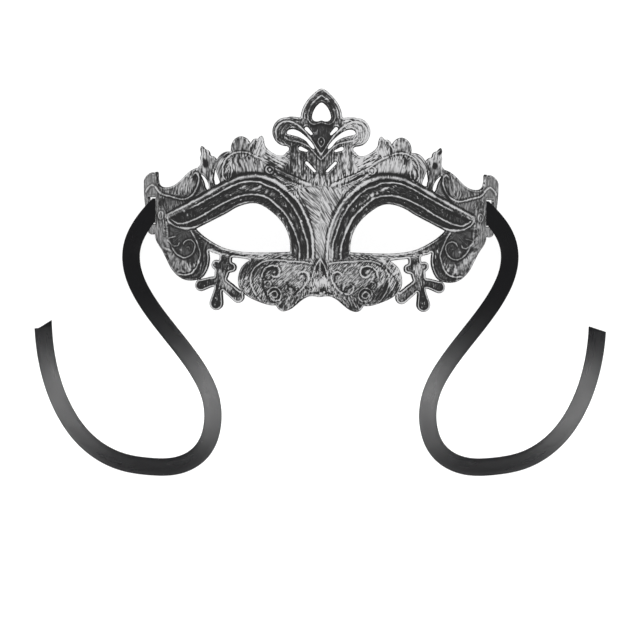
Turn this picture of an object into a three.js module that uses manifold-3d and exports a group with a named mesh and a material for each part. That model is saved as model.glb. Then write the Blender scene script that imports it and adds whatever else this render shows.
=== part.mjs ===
// Venetian half mask: one moulded shell with crest, brow scrolls, wings and
// pendants, and the two tie ribbons that lead out through its side slots.
// Millimetres. The mask lies on its back: +Z is its front, +Y its crest, +X the
// wearer's left. The shell's side edges rest on z = 0, and the origin is below
// the middle of the shell's box.
import * as THREE from "three";
import { mergeVertices } from "three/addons/utils/BufferGeometryUtils.js";
import Module from "manifold-3d";

// ---------------------------------------------------------------- sizes, mm
const MASK_HALF_WIDTH = 85.4;   // midline to the rear edge of a side wing
const UNIT = 0.48;              // one drawing unit of the plan below
const DATUM = 311.7;            // drawing row of the lowest point of the mask
const WALL = 1.4;               // moulded wall
const FOREHEAD_TURN = 34;       // slope of the front where the side bend starts, degrees
const FOREHEAD_POWER = 1.35;    // how late the front starts to slope
const SIDE_TURN = 72;           // slope of the side wing, degrees
const BEND_START = 77;          // girth at which the side bend starts
const BEND_LENGTH = 12;         // girth over which it turns
const EDGE_BLEND = 75;          // x from which the wing narrows towards its foot
const NOSE_RISE = 12.5;         // how far the nose stands out of the arch
const NOSE_TOP = 74;            // height at which the nose ridge runs out
const NOSE_HALF = 12;           // half width of the nose ridge
const CREST_LEAN = 0.0040;      // backward lean of the crest, per mm squared
const CHIN_LEAN = 0.0055;       // backward lean of the lower edge, per mm squared
const SOCKET_DIP = 2.2;         // hollow around each eye hole
const CELL = 4.6;               // facet size on the open faces
const LINE_STEP = 2.3;          // facet length along an outline or a ridge
const RIBBON_WIDTH = 8.5;
const RIBBON_THICK = 0.6;
const RIBBON_STEPS = 60;         // along the free run
const FREE_RUN = { left: 252.5, right: 249.3 };  // from the slot to the cut end
const END_CUT = { left: 4.7, right: 2.3 };       // slant of the cut end
const RIBBON_TAB = 6;           // glued length inside the shell
const GAP = 0.35;               // clearance between ribbon and shell
const FOLD_CLEAR = 0.9;          // fold of the ribbon behind the slot's front edge
const FOLD_OUT = 2.4;            // from the fold to the middle of the slot
const SWING = 9;                // run over which its sections turn square
const FLOOR_GAP = 0.15;         // underside of a lying ribbon above z = 0

// ------------------------------------------------------- plan of the outline
// Every shape is drawn on one half of the mask in drawing units: distance from
// the midline, then row counted downwards. blob = closed smooth curve, cap =
// string of discs joined by their tangents, oval = ellipse, face = straight
// sided, leaf = two smooth runs that meet in two corners.
const SHAPES = {
  crest_ring: ["blob", [[0, 88.2], [10, 95.3], [16.2, 103], [19.4, 110], [20.7, 118], [18.5, 127], [10, 134], [0, 136], [-10, 134], [-18.5, 127], [-20.7, 118], [-19.4, 110], [-16.2, 103], [-10, 95.3]]],
  crest_scroll: ["oval", [35.3, 131.6, 13.5, 14.1]],
  crest_fan: ["blob", [[0, 118], [20, 117.6], [34, 117.5], [38, 130], [36, 144], [32.2, 147.6], [32, 150], [33.4, 152], [30, 164], [18, 176], [0, 186]]],
  brow_leaf: ["blob", [[33.2, 151.5], [36.8, 154.8], [40.6, 155.9], [45, 154.8], [53, 149.8], [56.6, 144.8], [57.5, 139.5], [59.4, 135.9], [61.8, 137.2], [63.2, 139.2], [66.2, 138.9], [69, 141], [71, 146], [76, 160], [50, 176], [30, 168]]],
  brow_lobe: ["oval", [79.9, 149.1, 10.3, 12.4]],
  brow_shell: ["oval", [92.8, 170.2, 13.6, 18.2]],
  bud: ["blob", [[119.6, 146.4], [117.8, 147.6], [116, 149.8], [113.2, 150.6], [111.4, 153], [110.6, 156], [107.6, 156.8], [104.6, 159.8], [103.4, 166], [106.2, 172], [107.4, 180], [107.4, 188], [112, 191.5], [114, 184], [116, 179.5], [119.4, 174.4], [123, 171.4], [122.9, 168.2], [121.1, 165.8], [120.2, 162.2], [121, 158], [119.9, 154.2], [120.9, 150]]],
  temple_lobe: ["blob", [[118.5, 171.5], [123.2, 168.6], [128.5, 170.4], [134, 174.4], [139, 179.5], [144, 184.1], [149, 187], [155, 188.2], [160, 187.4], [163, 184.6], [164.4, 180], [168, 180], [166, 196], [158, 212], [130, 212], [117, 194]]],
  wing: ["blob", [[164.6, 188], [164.5, 181.4], [164.3, 175.4], [164.7, 172.8], [165.8, 172.5], [167.1, 174.1], [169.7, 173], [173.4, 174.6], [176.8, 178.4], [178.6, 184.2], [179.3, 192], [178.6, 201], [177.3, 210], [175.7, 221], [174.4, 228], [172.6, 233.4], [169.4, 235.2], [166, 233.4], [163, 222], [161, 205]]],
  lower_lobe: ["blob", [[165.8, 234], [164.6, 240.6], [161.6, 246.2], [158.4, 251], [153.8, 260], [149.9, 267.6], [146.6, 272.2], [142, 276.6], [136.4, 279.8], [129, 281], [122, 279.9], [117, 276.8], [113.2, 270.5], [110.8, 262], [111.4, 252], [114.6, 241], [124, 229], [140, 214], [162, 206]]],
  eye_sill: ["cap", [[113, 243.8, 5.6], [106, 249.2, 3.8], [97, 252.4, 3.4], [88, 254, 3.1], [75, 255.3, 3.2], [60, 257, 4.8]]],
  cheek: ["blob", [[66, 258], [73.4, 262.2], [78.4, 267.2], [80.7, 272.5], [81.8, 278.5], [81.5, 285], [78.8, 290.4], [74.4, 294.8], [69, 298.2], [57, 303.1], [50, 304.9], [43.4, 304.8], [30, 300], [24, 280], [30, 256], [50, 252]]],
  lip: ["blob", [[44.2, 303.2], [42.2, 307.9], [38.8, 310.6], [35, 310.9], [30, 308.8], [25.6, 305.4], [18.3, 299.2], [11, 295.8], [5, 295.6], [0, 296.2], [-8, 290], [0, 280], [30, 284], [44, 294]]],
  face: ["blob", [[-12, 150], [0, 130], [12, 150], [28, 160], [42, 161], [62, 148], [80, 152], [98, 160], [105, 180], [122, 182], [140, 190], [158, 196], [162, 214], [156, 240], [140, 262], [122, 262], [113, 248], [90, 252], [70, 258], [66, 272], [56, 290], [36, 298], [16, 292], [0, 290], [-16, 292], [-24, 260], [-24, 200]]],
  pendant_neck: ["cap", [[94, 252, 6.2], [94.6, 262, 6], [98.2, 273, 6.9], [100, 283, 5.4]]],
  pendant_knop: ["cap", [[103.6, 265, 4.9], [97, 268, 6], [88.4, 267.4, 4.9]]],
  pendant_outer_drop: ["cap", [[101, 281.4, 5.2], [109, 282.2, 5], [118.8, 285.5, 6]]],
  pendant_middle_drop: ["cap", [[100.4, 283, 4], [101.6, 290, 4], [103.4, 303.6, 6.8]]],
  pendant_inner_drop: ["cap", [[99, 281.5, 5.2], [90, 289.4, 5.8], [81.5, 296.8, 6.1]]],
};
const HOLES = {
  eye: ["leaf", [[30, 251.6], [30, 246], [31.3, 237], [34.7, 228], [40.8, 219.2], [50, 210.9], [59, 205.2], [66, 203.4], [74, 204.2], [84, 207.8], [95, 214.2], [110, 221.7], [125, 229.3]], [[125, 229.3], [117.6, 236], [106, 243.5], [94.5, 248.7], [80, 251.7], [60, 252.6], [30, 251.6]]],
  crest_eye: ["blob", [[0, 101.6], [4.4, 104.6], [7.5, 109.2], [9.3, 114.6], [9.3, 118.4], [6.8, 120.9], [3.2, 121.2], [0, 120.2], [-3.2, 121.2], [-6.8, 120.9], [-9.3, 118.4], [-9.3, 114.6], [-7.5, 109.2], [-4.4, 104.6]]],
  scroll_slit: ["blob", [[29.5, 128.7], [33.8, 130.4], [34.4, 133.6], [28.5, 135.3], [20.8, 137.7], [15, 141.2], [10.2, 147], [7, 149.2], [6.4, 147.6], [9.1, 142.6], [15.6, 135.8], [23, 130.4]]],
  fan_slit: ["cap", [[14.8, 128.2, 2.1], [9.8, 133.6, 1.4]]],
  vee_slit: ["cap", [[20.6, 148.2, 2.2], [14.3, 150.6, 1.3]]],
  root_slit: ["cap", [[14.5, 162.3, 1.6], [6.2, 170.9, 1.4]]],
  bud_gap_inner: ["face", [[106, 168.4], [107, 177], [106.3, 185.2], [103, 184.8], [100.6, 182.8], [103.7, 174.6]]],
  bud_gap_outer: ["blob", [[120.9, 174.4], [117.2, 176.8], [114, 180.8], [111.9, 186], [111.8, 188.8], [113.7, 190.6], [115.5, 188], [117, 182.6], [119.2, 178]]],
};
const SLOT = { front: 165.3, rear: 173.2, top: 197.8, foot: 224.6, mid: 211.3 }; // ribbon slot, drawing units

// ------------------------------------------------------ plan of the ridges
// [half width in drawing units, height in mm, run of the crest line]
const RIDGES = {
  frame_outer: [2.9, 1.1, [[152.5, 217], [137.6, 209.6], [115.3, 199], [97, 188.6], [82, 181.2], [68, 178.6], [54, 180.6], [41, 187.4], [31, 196.6], [22.5, 209], [16.4, 222], [12, 236], [10, 258]]],
  frame_inner: [2.1, 0.8, [[148.5, 220.4], [141.5, 224], [134.2, 223], [120, 216.8], [102, 206.2], [85.3, 197.8], [71, 194.9], [60, 195.8], [50, 200], [36.8, 212], [29.3, 224], [24, 236], [21, 248], [20.6, 259]]],
  lid: [1.7, 0.7, [[151.3, 218.5], [145.6, 225.4], [134, 229.6], [125.5, 232.4], [106, 246.2], [95, 251.2], [80, 254.2], [60, 255.2], [32, 254.6]]],
  brow_scroll: [1.8, 0.9, [[93.3, 180], [97.3, 172], [97, 166], [94.8, 160.5], [90.5, 155.8], [82.2, 152.8], [73.3, 153.3], [65.6, 156.7], [52, 164], [43.3, 169.4], [32.2, 175], [21, 179.4]]],
  crest_rim: [2.0, 1.0, [[0, 95.8], [9, 102.6], [14, 111], [14.6, 119.5], [10.5, 125.4], [0, 127.2]]],
  crest_vee: [1.7, 0.9, [[42, 139.4], [44.6, 131.8], [41.4, 125], [34.8, 121.6], [27.6, 123.4], [18.8, 129.4], [8.6, 142.4], [0, 157]]],
  temple_scroll: [1.8, 0.9, [[123.5, 176], [123, 184], [127, 193], [136, 197.5], [147, 196], [156, 192.4], [162, 186.6], [167.4, 184.6]]],
  lower_scroll: [1.8, 0.9, [[129.5, 231], [125, 241], [121, 250], [121, 260], [125, 270], [132, 274.5], [144, 275]]],
  cheek_arc: [1.9, 0.9, [[6.4, 264], [27.6, 260.2], [44.8, 259.4], [54, 260.8], [62, 264.5], [67.2, 270.8], [69.5, 279.4], [68.4, 288.6], [65, 296.7]]],
};

// ------------------------------------------------------- curvature of the shell
const RAD = Math.PI / 180;
const clamp = (t) => Math.min(1, Math.max(0, t));
const smooth = (t) => { const c = clamp(t); return c * c * (3 - 2 * c); };
// One half of the horizontal section, walked in small steps of girth u.
const GIRTH_STEP = 0.25;
const section = [{ u: 0, x: 0, fall: 0 }];
for (let u = 0; section.at(-1).x < MASK_HALF_WIDTH + 1.6; u += GIRTH_STEP) {
  const mid = u + GIRTH_STEP / 2;
  const turn = RAD * (FOREHEAD_TURN * Math.pow(clamp(mid / BEND_START), FOREHEAD_POWER)
    + (SIDE_TURN - FOREHEAD_TURN) * smooth((mid - BEND_START) / BEND_LENGTH));
  const last = section.at(-1);
  section.push({ u: u + GIRTH_STEP, x: last.x + GIRTH_STEP * Math.cos(turn), fall: last.fall + GIRTH_STEP * Math.sin(turn) });
}
function lookup(key, value, out) {
  let i = 1;
  while (i < section.length - 1 && section[i][key] < value) i++;
  const a = section[i - 1], b = section[i];
  return a[out] + (b[out] - a[out]) * (value - a[key]) / (b[key] - a[key]);
}
const ARCH_DEPTH = lookup("x", MASK_HALF_WIDTH, "fall");
const GIRTH_MAX = section.at(-1).u;
const rowToY = (row) => (DATUM - row) * UNIT;
// Half width of the wing's rear edge at height y, and the squeeze that gives it.
const WING_TOP = rowToY(194), WING_TAPER = 0.13;
function squeeze(y) {
  const d = WING_TOP - y;
  const edge = MASK_HALF_WIDTH - WING_TAPER * Math.min(24, (d + Math.hypot(d, 3)) / 2);
  return (edge - EDGE_BLEND) / (MASK_HALF_WIDTH - EDGE_BLEND);
}
// Plan position to girth position and back.
function girth(x, y) {
  const a = Math.abs(x);
  const plain = a < EDGE_BLEND ? a : EDGE_BLEND + (a - EDGE_BLEND) / squeeze(y);
  return Math.sign(x) * lookup("x", plain, "u");
}
// A point of the front skin at girth u and height v.
function skin(u, v) {
  const a = Math.abs(u);
  const plain = lookup("u", a, "x");
  const x = plain < EDGE_BLEND ? plain : EDGE_BLEND + (plain - EDGE_BLEND) * squeeze(v);
  const inner = 1 - smooth((a - 58) / 22);
  const over = Math.max(0, v - 56), under = Math.max(0, 24 - v);
  const ridge = NOSE_RISE * Math.pow(clamp((NOSE_TOP - v) / (NOSE_TOP - 10)), 1.25);
  const nose = ridge * Math.exp(-Math.pow(x / (NOSE_HALF + 0.05 * (NOSE_TOP - v)), 2));
  const socket = SOCKET_DIP * Math.exp(-Math.pow((x - 37) / 21, 2) - Math.pow((v - 41) / 15, 2));
  const z = ARCH_DEPTH - lookup("u", a, "fall")
    + nose - inner * (CREST_LEAN * over * over + CHIN_LEAN * under * under) - inner * socket;
  return new THREE.Vector3(Math.sign(u) * x, v, z);
}
function outward(u, v) {
  const h = 0.2;
  const du = skin(u + h, v).sub(skin(u - h, v));
  const dv = skin(u, v + h).sub(skin(u, v - h));
  return du.cross(dv).normalize();
}
// Flat working position (girth, height, depth under the skin) to its real place.
const bend = (u, v, w) => skin(u, v).addScaledVector(outward(u, v), w);

// -------------------------------------------------------------- plan curves
function evenly(curve, closed, step) {
  const count = Math.max(closed ? 8 : 3, Math.round(curve.getLength() / step));
  const points = curve.getSpacedPoints(count);
  if (closed) points.pop();
  return points;
}
function spline(anchors, closed, step) {
  const curve = new THREE.CatmullRomCurve3(anchors.map(([a, b]) => new THREE.Vector3(a, b, 0)), closed, "centripetal");
  return evenly(curve, closed, step).map((p) => [p.x, p.y]);
}
function disc(cx, cy, rx, ry, from, to, count) {
  return Array.from({ length: count + 1 }, (_, i) => {
    const t = from + (to - from) * i / count;
    return [cx + rx * Math.cos(t), cy + ry * Math.sin(t)];
  });
}
// Closed loops of a drawn shape, in drawing units.
function loops([kind, first, second]) {
  const step = LINE_STEP / UNIT;
  if (kind === "blob") return [spline(first, true, Math.min(step, spline(first, true, 1).length / 12))];
  if (kind === "face") return [first];
  if (kind === "leaf") return [[...spline(first, false, step).slice(0, -1), ...spline(second, false, step).slice(0, -1)]];
  if (kind === "oval") {
    const [cx, cy, rx, ry] = first;
    return [disc(cx, cy, rx, ry, 0, 2 * Math.PI, 22).slice(0, -1)];
  }
  return first.slice(1).map(([x1, y1, r1], i) => {
    const [x0, y0, r0] = first[i];
    const lead = Math.atan2(y1 - y0, x1 - x0), open = Math.acos((r0 - r1) / Math.hypot(x1 - x0, y1 - y0));
    const arcs = (r) => Math.max(2, Math.round(r * 1.1));
    return [...disc(x0, y0, r0, r0, lead + open, lead + 2 * Math.PI - open, arcs(r0)),
      ...disc(x1, y1, r1, r1, lead - open, lead + open, arcs(r1))];
  });
}
// The same loop in the flat working space, on the asked side of the midline.
const flatten = (loop, side) => loop.map(([a, b]) => {
  const x = side * a * UNIT, y = rowToY(b);
  return [girth(x, y), y];
});

// ------------------------------------------------------------------- solids
const wasm = await Module();
wasm.setup();
function solid(geometry) {
  const bare = geometry.index ? geometry : geometry.clone();
  for (const name of Object.keys(bare.attributes)) if (name !== "position") bare.deleteAttribute(name);
  const merged = mergeVertices(bare, 1e-4);
  return new wasm.Manifold(new wasm.Mesh({
    numProp: 3,
    vertProperties: Float32Array.from(merged.attributes.position.array),
    triVerts: Uint32Array.from(merged.index.array),
  }));
}
function fromQuads(points, faces) {
  const geometry = new THREE.BufferGeometry();
  geometry.setAttribute("position", new THREE.Float32BufferAttribute(points.flat(), 3));
  geometry.setIndex(faces);
  return geometry;
}
function prism(loop, low, high) {
  const shape = new THREE.Shape(loop.map(([u, v]) => new THREE.Vector2(u, v)));
  const geometry = new THREE.ExtrudeGeometry(shape, { depth: high - low, bevelEnabled: false, steps: 1 });
  geometry.translate(0, 0, low);
  return solid(geometry);
}
// A shell slab with a facet grid, from the inner face to the skin.
function slab() {
  const us = [];
  for (let u = 0; u < BEND_START - 1; u += CELL) us.push(u);
  for (let u = BEND_START; u <= BEND_START + BEND_LENGTH + 1; u += 2.2) us.push(u);
  for (const f of [0.33, 0.68, 1]) us.push(us.at(-1) * (1 - f) + GIRTH_MAX * f);
  const columns = [...us.slice(1).reverse().map((u) => -u), ...us];
  const rows = [];
  for (let v = -2; v < rowToY(86); v += CELL * 1.05) rows.push(v);
  rows.push(rowToY(84));
  const points = [], faces = [];
  const at = (i, j, k) => (k * columns.length + i) * rows.length + j;
  for (const w of [0, -WALL]) for (const u of columns) for (const v of rows) points.push([u, v, w]);
  const quad = (a, b, c, d) => faces.push(a, b, c, a, c, d);
  for (let i = 0; i < columns.length - 1; i++) {
    for (let j = 0; j < rows.length - 1; j++) {
      quad(at(i, j, 0), at(i + 1, j, 0), at(i + 1, j + 1, 0), at(i, j + 1, 0));
      quad(at(i, j, 1), at(i, j + 1, 1), at(i + 1, j + 1, 1), at(i + 1, j, 1));
    }
    const m = rows.length - 1;
    quad(at(i, 0, 1), at(i + 1, 0, 1), at(i + 1, 0, 0), at(i, 0, 0));
    quad(at(i, m, 0), at(i + 1, m, 0), at(i + 1, m, 1), at(i, m, 1));
  }
  for (let j = 0; j < rows.length - 1; j++) {
    const m = columns.length - 1;
    quad(at(0, j, 0), at(0, j + 1, 0), at(0, j + 1, 1), at(0, j, 1));
    quad(at(m, j, 1), at(m, j + 1, 1), at(m, j + 1, 0), at(m, j, 0));
  }
  return solid(fromQuads(points, faces));
}
// A ridge along a drawn line: a roof-shaped bar half sunk in the skin.
function ridge([half, height, anchors], side) {
  const line = flatten(spline(anchors, false, 3.2 / UNIT), side);
  const points = [], faces = [], base = half * UNIT * (1 + 0.5 / height);
  line.forEach(([u, v], i) => {
    const [ua, va] = line[Math.max(0, i - 1)], [ub, vb] = line[Math.min(line.length - 1, i + 1)];
    const length = Math.hypot(ub - ua, vb - va), nu = -(vb - va) / length, nv = (ub - ua) / length;
    const end = i === 0 || i === line.length - 1 ? 0.6 : 1;
    points.push([u + nu * base * end, v + nv * base * end, -0.5], [u - nu * base * end, v - nv * base * end, -0.5], [u, v, end * height]);
  });
  for (let i = 0; i < line.length - 1; i++) {
    for (let k = 0; k < 3; k++) {
      const a = 3 * i + k, b = 3 * i + (k + 1) % 3;
      faces.push(a, b + 3, b, a, a + 3, b + 3);
    }
  }
  const m = 3 * (line.length - 1);
  faces.push(0, 1, 2, m, m + 2, m + 1);
  return solid(fromQuads(points, faces));
}
function asGeometry(body) {
  const mesh = body.getMesh(), count = mesh.numProp;
  const position = new Float32Array(mesh.vertProperties.length / count * 3);
  for (let i = 0; i < position.length / 3; i++) for (let k = 0; k < 3; k++) position[3 * i + k] = mesh.vertProperties[i * count + k];
  const geometry = new THREE.BufferGeometry();
  geometry.setAttribute("position", new THREE.BufferAttribute(position, 3));
  geometry.setIndex(Array.from(mesh.triVerts));
  return geometry;
}
function total(bodies) {
  let queue = bodies;
  while (queue.length > 1) {
    const next = [];
    for (let i = 0; i < queue.length; i += 2) next.push(i + 1 < queue.length ? queue[i].add(queue[i + 1]) : queue[i]);
    queue = next;
  }
  return queue[0];
}

// --------------------------------------------------------------- mask shell
function maskShell() {
  const blank = [], voids = [], bars = [];
  for (const side of [1, -1]) {
    for (const shape of Object.values(SHAPES)) {
      for (const loop of loops(shape)) blank.push(prism(flatten(loop, side), -4, 4));
    }
    for (const hole of Object.values(HOLES)) {
      for (const loop of loops(hole)) voids.push(prism(flatten(loop, side), -5, 5));
    }
    const slot = [[SLOT.front, SLOT.top], [SLOT.rear, SLOT.top], [SLOT.rear, SLOT.foot], [SLOT.front, SLOT.foot]];
    voids.push(prism(flatten(slot, side), -5, 5));
    for (const line of Object.values(RIDGES)) bars.push(ridge(line, side));
  }
  const plate = total([slab(), ...bars]);
  const cut = plate.intersect(total(blank)).subtract(total(voids));
  const geometry = asGeometry(cut);
  const position = geometry.attributes.position;
  for (let i = 0; i < position.count; i++) {
    const p = bend(position.getX(i), position.getY(i), position.getZ(i));
    position.setXYZ(i, p.x, p.y, p.z);
  }
  // the side edges are cut level, so that the mask lies on them
  const table = new THREE.BoxGeometry(4 * MASK_HALF_WIDTH, 4 * MASK_HALF_WIDTH, 40);
  table.translate(0, 0, -20);
  return asGeometry(solid(geometry).subtract(solid(table)));
}

// ------------------------------------------------------------------ ribbons
// The ribbons' lay seen from above: [distance along from the slot, heading of the
// left one, heading of the right one] in degrees, 0 = away from the midline,
// 90 = towards the mask's foot.
const LAY = [[0, 43.7, 43.7], [6, 56.2, 49.7], [12, 57.7, 59.7], [21, 79.6, 82.7], [31, 104.3, 105.9], [42, 119.2, 119.4], [54, 126.7, 126.2], [66, 129.5, 128.5], [78, 128.4, 127], [89, 123.2, 121.8], [99, 114.8, 111.2], [108, 97.7, 94.9], [116, 85.7, 82.5], [124, 72, 67.1], [132, 46.7, 41.5], [141, 21.6, 17.2], [152, -1.6, -3.9], [165, -7.2, -9.2], [183, -32, -35.4], [202, -55.6, -57.7], [222, -70.9, -72.8], [250.5, -87, -88.6]];
const DROP_FROM = 5, DROP_TO = 34;   // stretch over which it sinks from the slot to the floor
function heading(s, side) {
  let i = 1;
  while (i < LAY.length - 1 && LAY[i][0] < s) i++;
  const k = side < 0 ? 1 : 2, a = LAY[i - 1], b = LAY[i];
  return RAD * (a[k] + (b[k] - a[k]) * (s - a[0]) / (b[0] - a[0]));
}
function ribbonFrames(side) {
  const run = side < 0 ? FREE_RUN.left : FREE_RUN.right, slope = side < 0 ? END_CUT.left : END_CUT.right;
  const vMid = rowToY(SLOT.mid);
  const lead = heading(0, side), half = RIBBON_WIDTH / 2, frames = [];
  // The ribbon folds at a level line inside the slot, clear of its slanted front edge.
  const foldU = girth(SLOT.front * UNIT, rowToY(SLOT.foot)) + FOLD_CLEAR;
  const deep = -WALL - GAP - RIBBON_THICK / 2;
  // glued tab along the inner face; its sections lie parallel to the fold
  const reach = RIBBON_TAB * Math.cos(lead);
  for (const t of [reach, reach * 0.66, reach * 0.33, 0]) {
    const u = foldU - t, v = vMid + t * Math.tan(lead), wide = half / Math.cos(lead);
    frames.push({ ends: [bend(u, v - wide, deep), bend(u, v + wide, deep)], up: outward(u, v) });
  }
  // through the slot and away, face up; the sections swing square to the run
  const inside = bend(foldU, vMid, deep);
  const rest = FLOOR_GAP + RIBBON_THICK / 2, height = inside.z - RIBBON_THICK;
  const fine = 8, count = RIBBON_STEPS * fine, dt = run / count;
  let x = inside.x + FOLD_OUT, y = vMid;
  for (let n = 0; n <= count; n++) {
    const s = n * dt, h = heading(s + dt / 2, side);
    if (n % fine === 0) {
      const slant = lead * clamp(1 - s / SWING);
      const wide = half / Math.cos(slant);
      const drop = smooth((s - DROP_FROM) / (DROP_TO - DROP_FROM));
      const z = rest + (height - rest) * (1 - drop);
      const across = new THREE.Vector3(Math.sin(h - slant) * wide, Math.cos(h - slant) * wide, 0);
      const p = new THREE.Vector3(x, y, z);
      const cut = new THREE.Vector3(Math.cos(h), -Math.sin(h), 0).multiplyScalar(n === count ? slope / 2 : 0);
      frames.push({ ends: [p.clone().sub(across).sub(cut), p.clone().add(across).add(cut)] });
    }
    x += dt * Math.cos(h);
    y -= dt * Math.sin(h);
  }
  return frames;
}
function ribbon(side) {
  const frames = ribbonFrames(side), points = [], faces = [];
  const middle = (f) => f.ends[0].clone().add(f.ends[1]).multiplyScalar(0.5);
  frames.forEach((f, i) => {
    const ahead = middle(frames[Math.min(frames.length - 1, i + 1)]).sub(middle(frames[Math.max(0, i - 1)]));
    const up = f.up ?? ahead.cross(f.ends[1].clone().sub(f.ends[0])).normalize();
    for (const [end, lift] of [[0, -1], [1, -1], [1, 1], [0, 1]]) {
      const p = f.ends[end].clone().addScaledVector(up, lift * RIBBON_THICK / 2);
      points.push([p.x * side, p.y, p.z]);
    }
  });
  const add = (a, b, c) => faces.push(...(side > 0 ? [a, c, b] : [a, b, c]));
  for (let i = 0; i < frames.length - 1; i++) {
    for (let k = 0; k < 4; k++) {
      const a = 4 * i + k, b = 4 * i + (k + 1) % 4;
      add(a, b + 4, b); add(a, a + 4, b + 4);
    }
  }
  const m = 4 * (frames.length - 1);
  add(0, 1, 2); add(0, 2, 3); add(m, m + 2, m + 1); add(m, m + 3, m + 2);
  return fromQuads(points, faces);
}

// ------------------------------------------------------------------- pieces
const antique = new THREE.MeshStandardMaterial({ name: "antique_silver", color: 0x86878a, roughness: 0.42, metalness: 0.6, flatShading: true });
const satin = new THREE.MeshStandardMaterial({ name: "black_satin", color: 0x1b1b1d, roughness: 0.45, metalness: 0, flatShading: true });
function piece(name, geometry, material) {
  geometry.computeVertexNormals();
  const mesh = new THREE.Mesh(geometry, material);
  mesh.name = name;
  return mesh;
}
const mask = new THREE.Group();
mask.name = "venetian_half_mask";
const shell = piece("mask_shell", maskShell(), antique);
mask.add(shell, piece("ribbon_left", ribbon(-1), satin), piece("ribbon_right", ribbon(1), satin.clone()));
shell.geometry.computeBoundingBox();
const middle = shell.geometry.boundingBox.getCenter(new THREE.Vector3());
for (const mesh of mask.children) mesh.position.set(0, -middle.y, 0);
export default mask;
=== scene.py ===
"""Looks of the moulded half mask and its two satin ribbons, lying on a pale floor."""

import math

import bpy
import numpy as np
from mathutils import Matrix, Vector, kdtree
from mathutils.geometry import delaunay_2d_cdt


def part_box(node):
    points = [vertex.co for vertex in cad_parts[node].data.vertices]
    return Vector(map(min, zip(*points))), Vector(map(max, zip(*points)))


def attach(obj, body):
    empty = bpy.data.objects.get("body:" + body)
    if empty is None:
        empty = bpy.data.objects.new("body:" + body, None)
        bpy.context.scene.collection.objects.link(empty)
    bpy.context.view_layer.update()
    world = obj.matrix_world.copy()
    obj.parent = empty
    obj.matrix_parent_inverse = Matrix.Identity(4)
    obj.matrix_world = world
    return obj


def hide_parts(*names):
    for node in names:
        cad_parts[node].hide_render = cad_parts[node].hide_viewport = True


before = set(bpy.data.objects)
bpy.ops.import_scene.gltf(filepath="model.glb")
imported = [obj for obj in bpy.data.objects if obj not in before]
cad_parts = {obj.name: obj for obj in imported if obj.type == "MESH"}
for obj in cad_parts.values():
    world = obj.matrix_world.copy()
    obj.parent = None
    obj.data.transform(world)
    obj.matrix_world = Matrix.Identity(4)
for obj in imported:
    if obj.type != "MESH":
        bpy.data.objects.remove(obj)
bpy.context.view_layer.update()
rng = np.random.default_rng(7)

# ------------------------------------------------------------------ sizes, mm
HALF_WIDTH = 85.4
UNIT = 0.48
DATUM = 311.7
WALL = 1.4
FOREHEAD_TURN, FOREHEAD_POWER = 34.0, 1.35
SIDE_TURN, BEND_START, BEND_LENGTH = 72.0, 77.0, 12.0
EDGE_BLEND = 75.0
NOSE_RISE, NOSE_TOP, NOSE_HALF = 12.5, 74.0, 12.0
CREST_LEAN, CHIN_LEAN, SOCKET_DIP = 0.0040, 0.0055, 2.2
CELL = 0.40  # spacing of the front's vertices
BACK_CELL = 1.35
RIM_ROUND = 0.3  # edge rounding
CREST_TOP = (DATUM - 88.2) * UNIT
Y_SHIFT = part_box("mask_shell")[1][1] * 1000 - CREST_TOP

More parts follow.
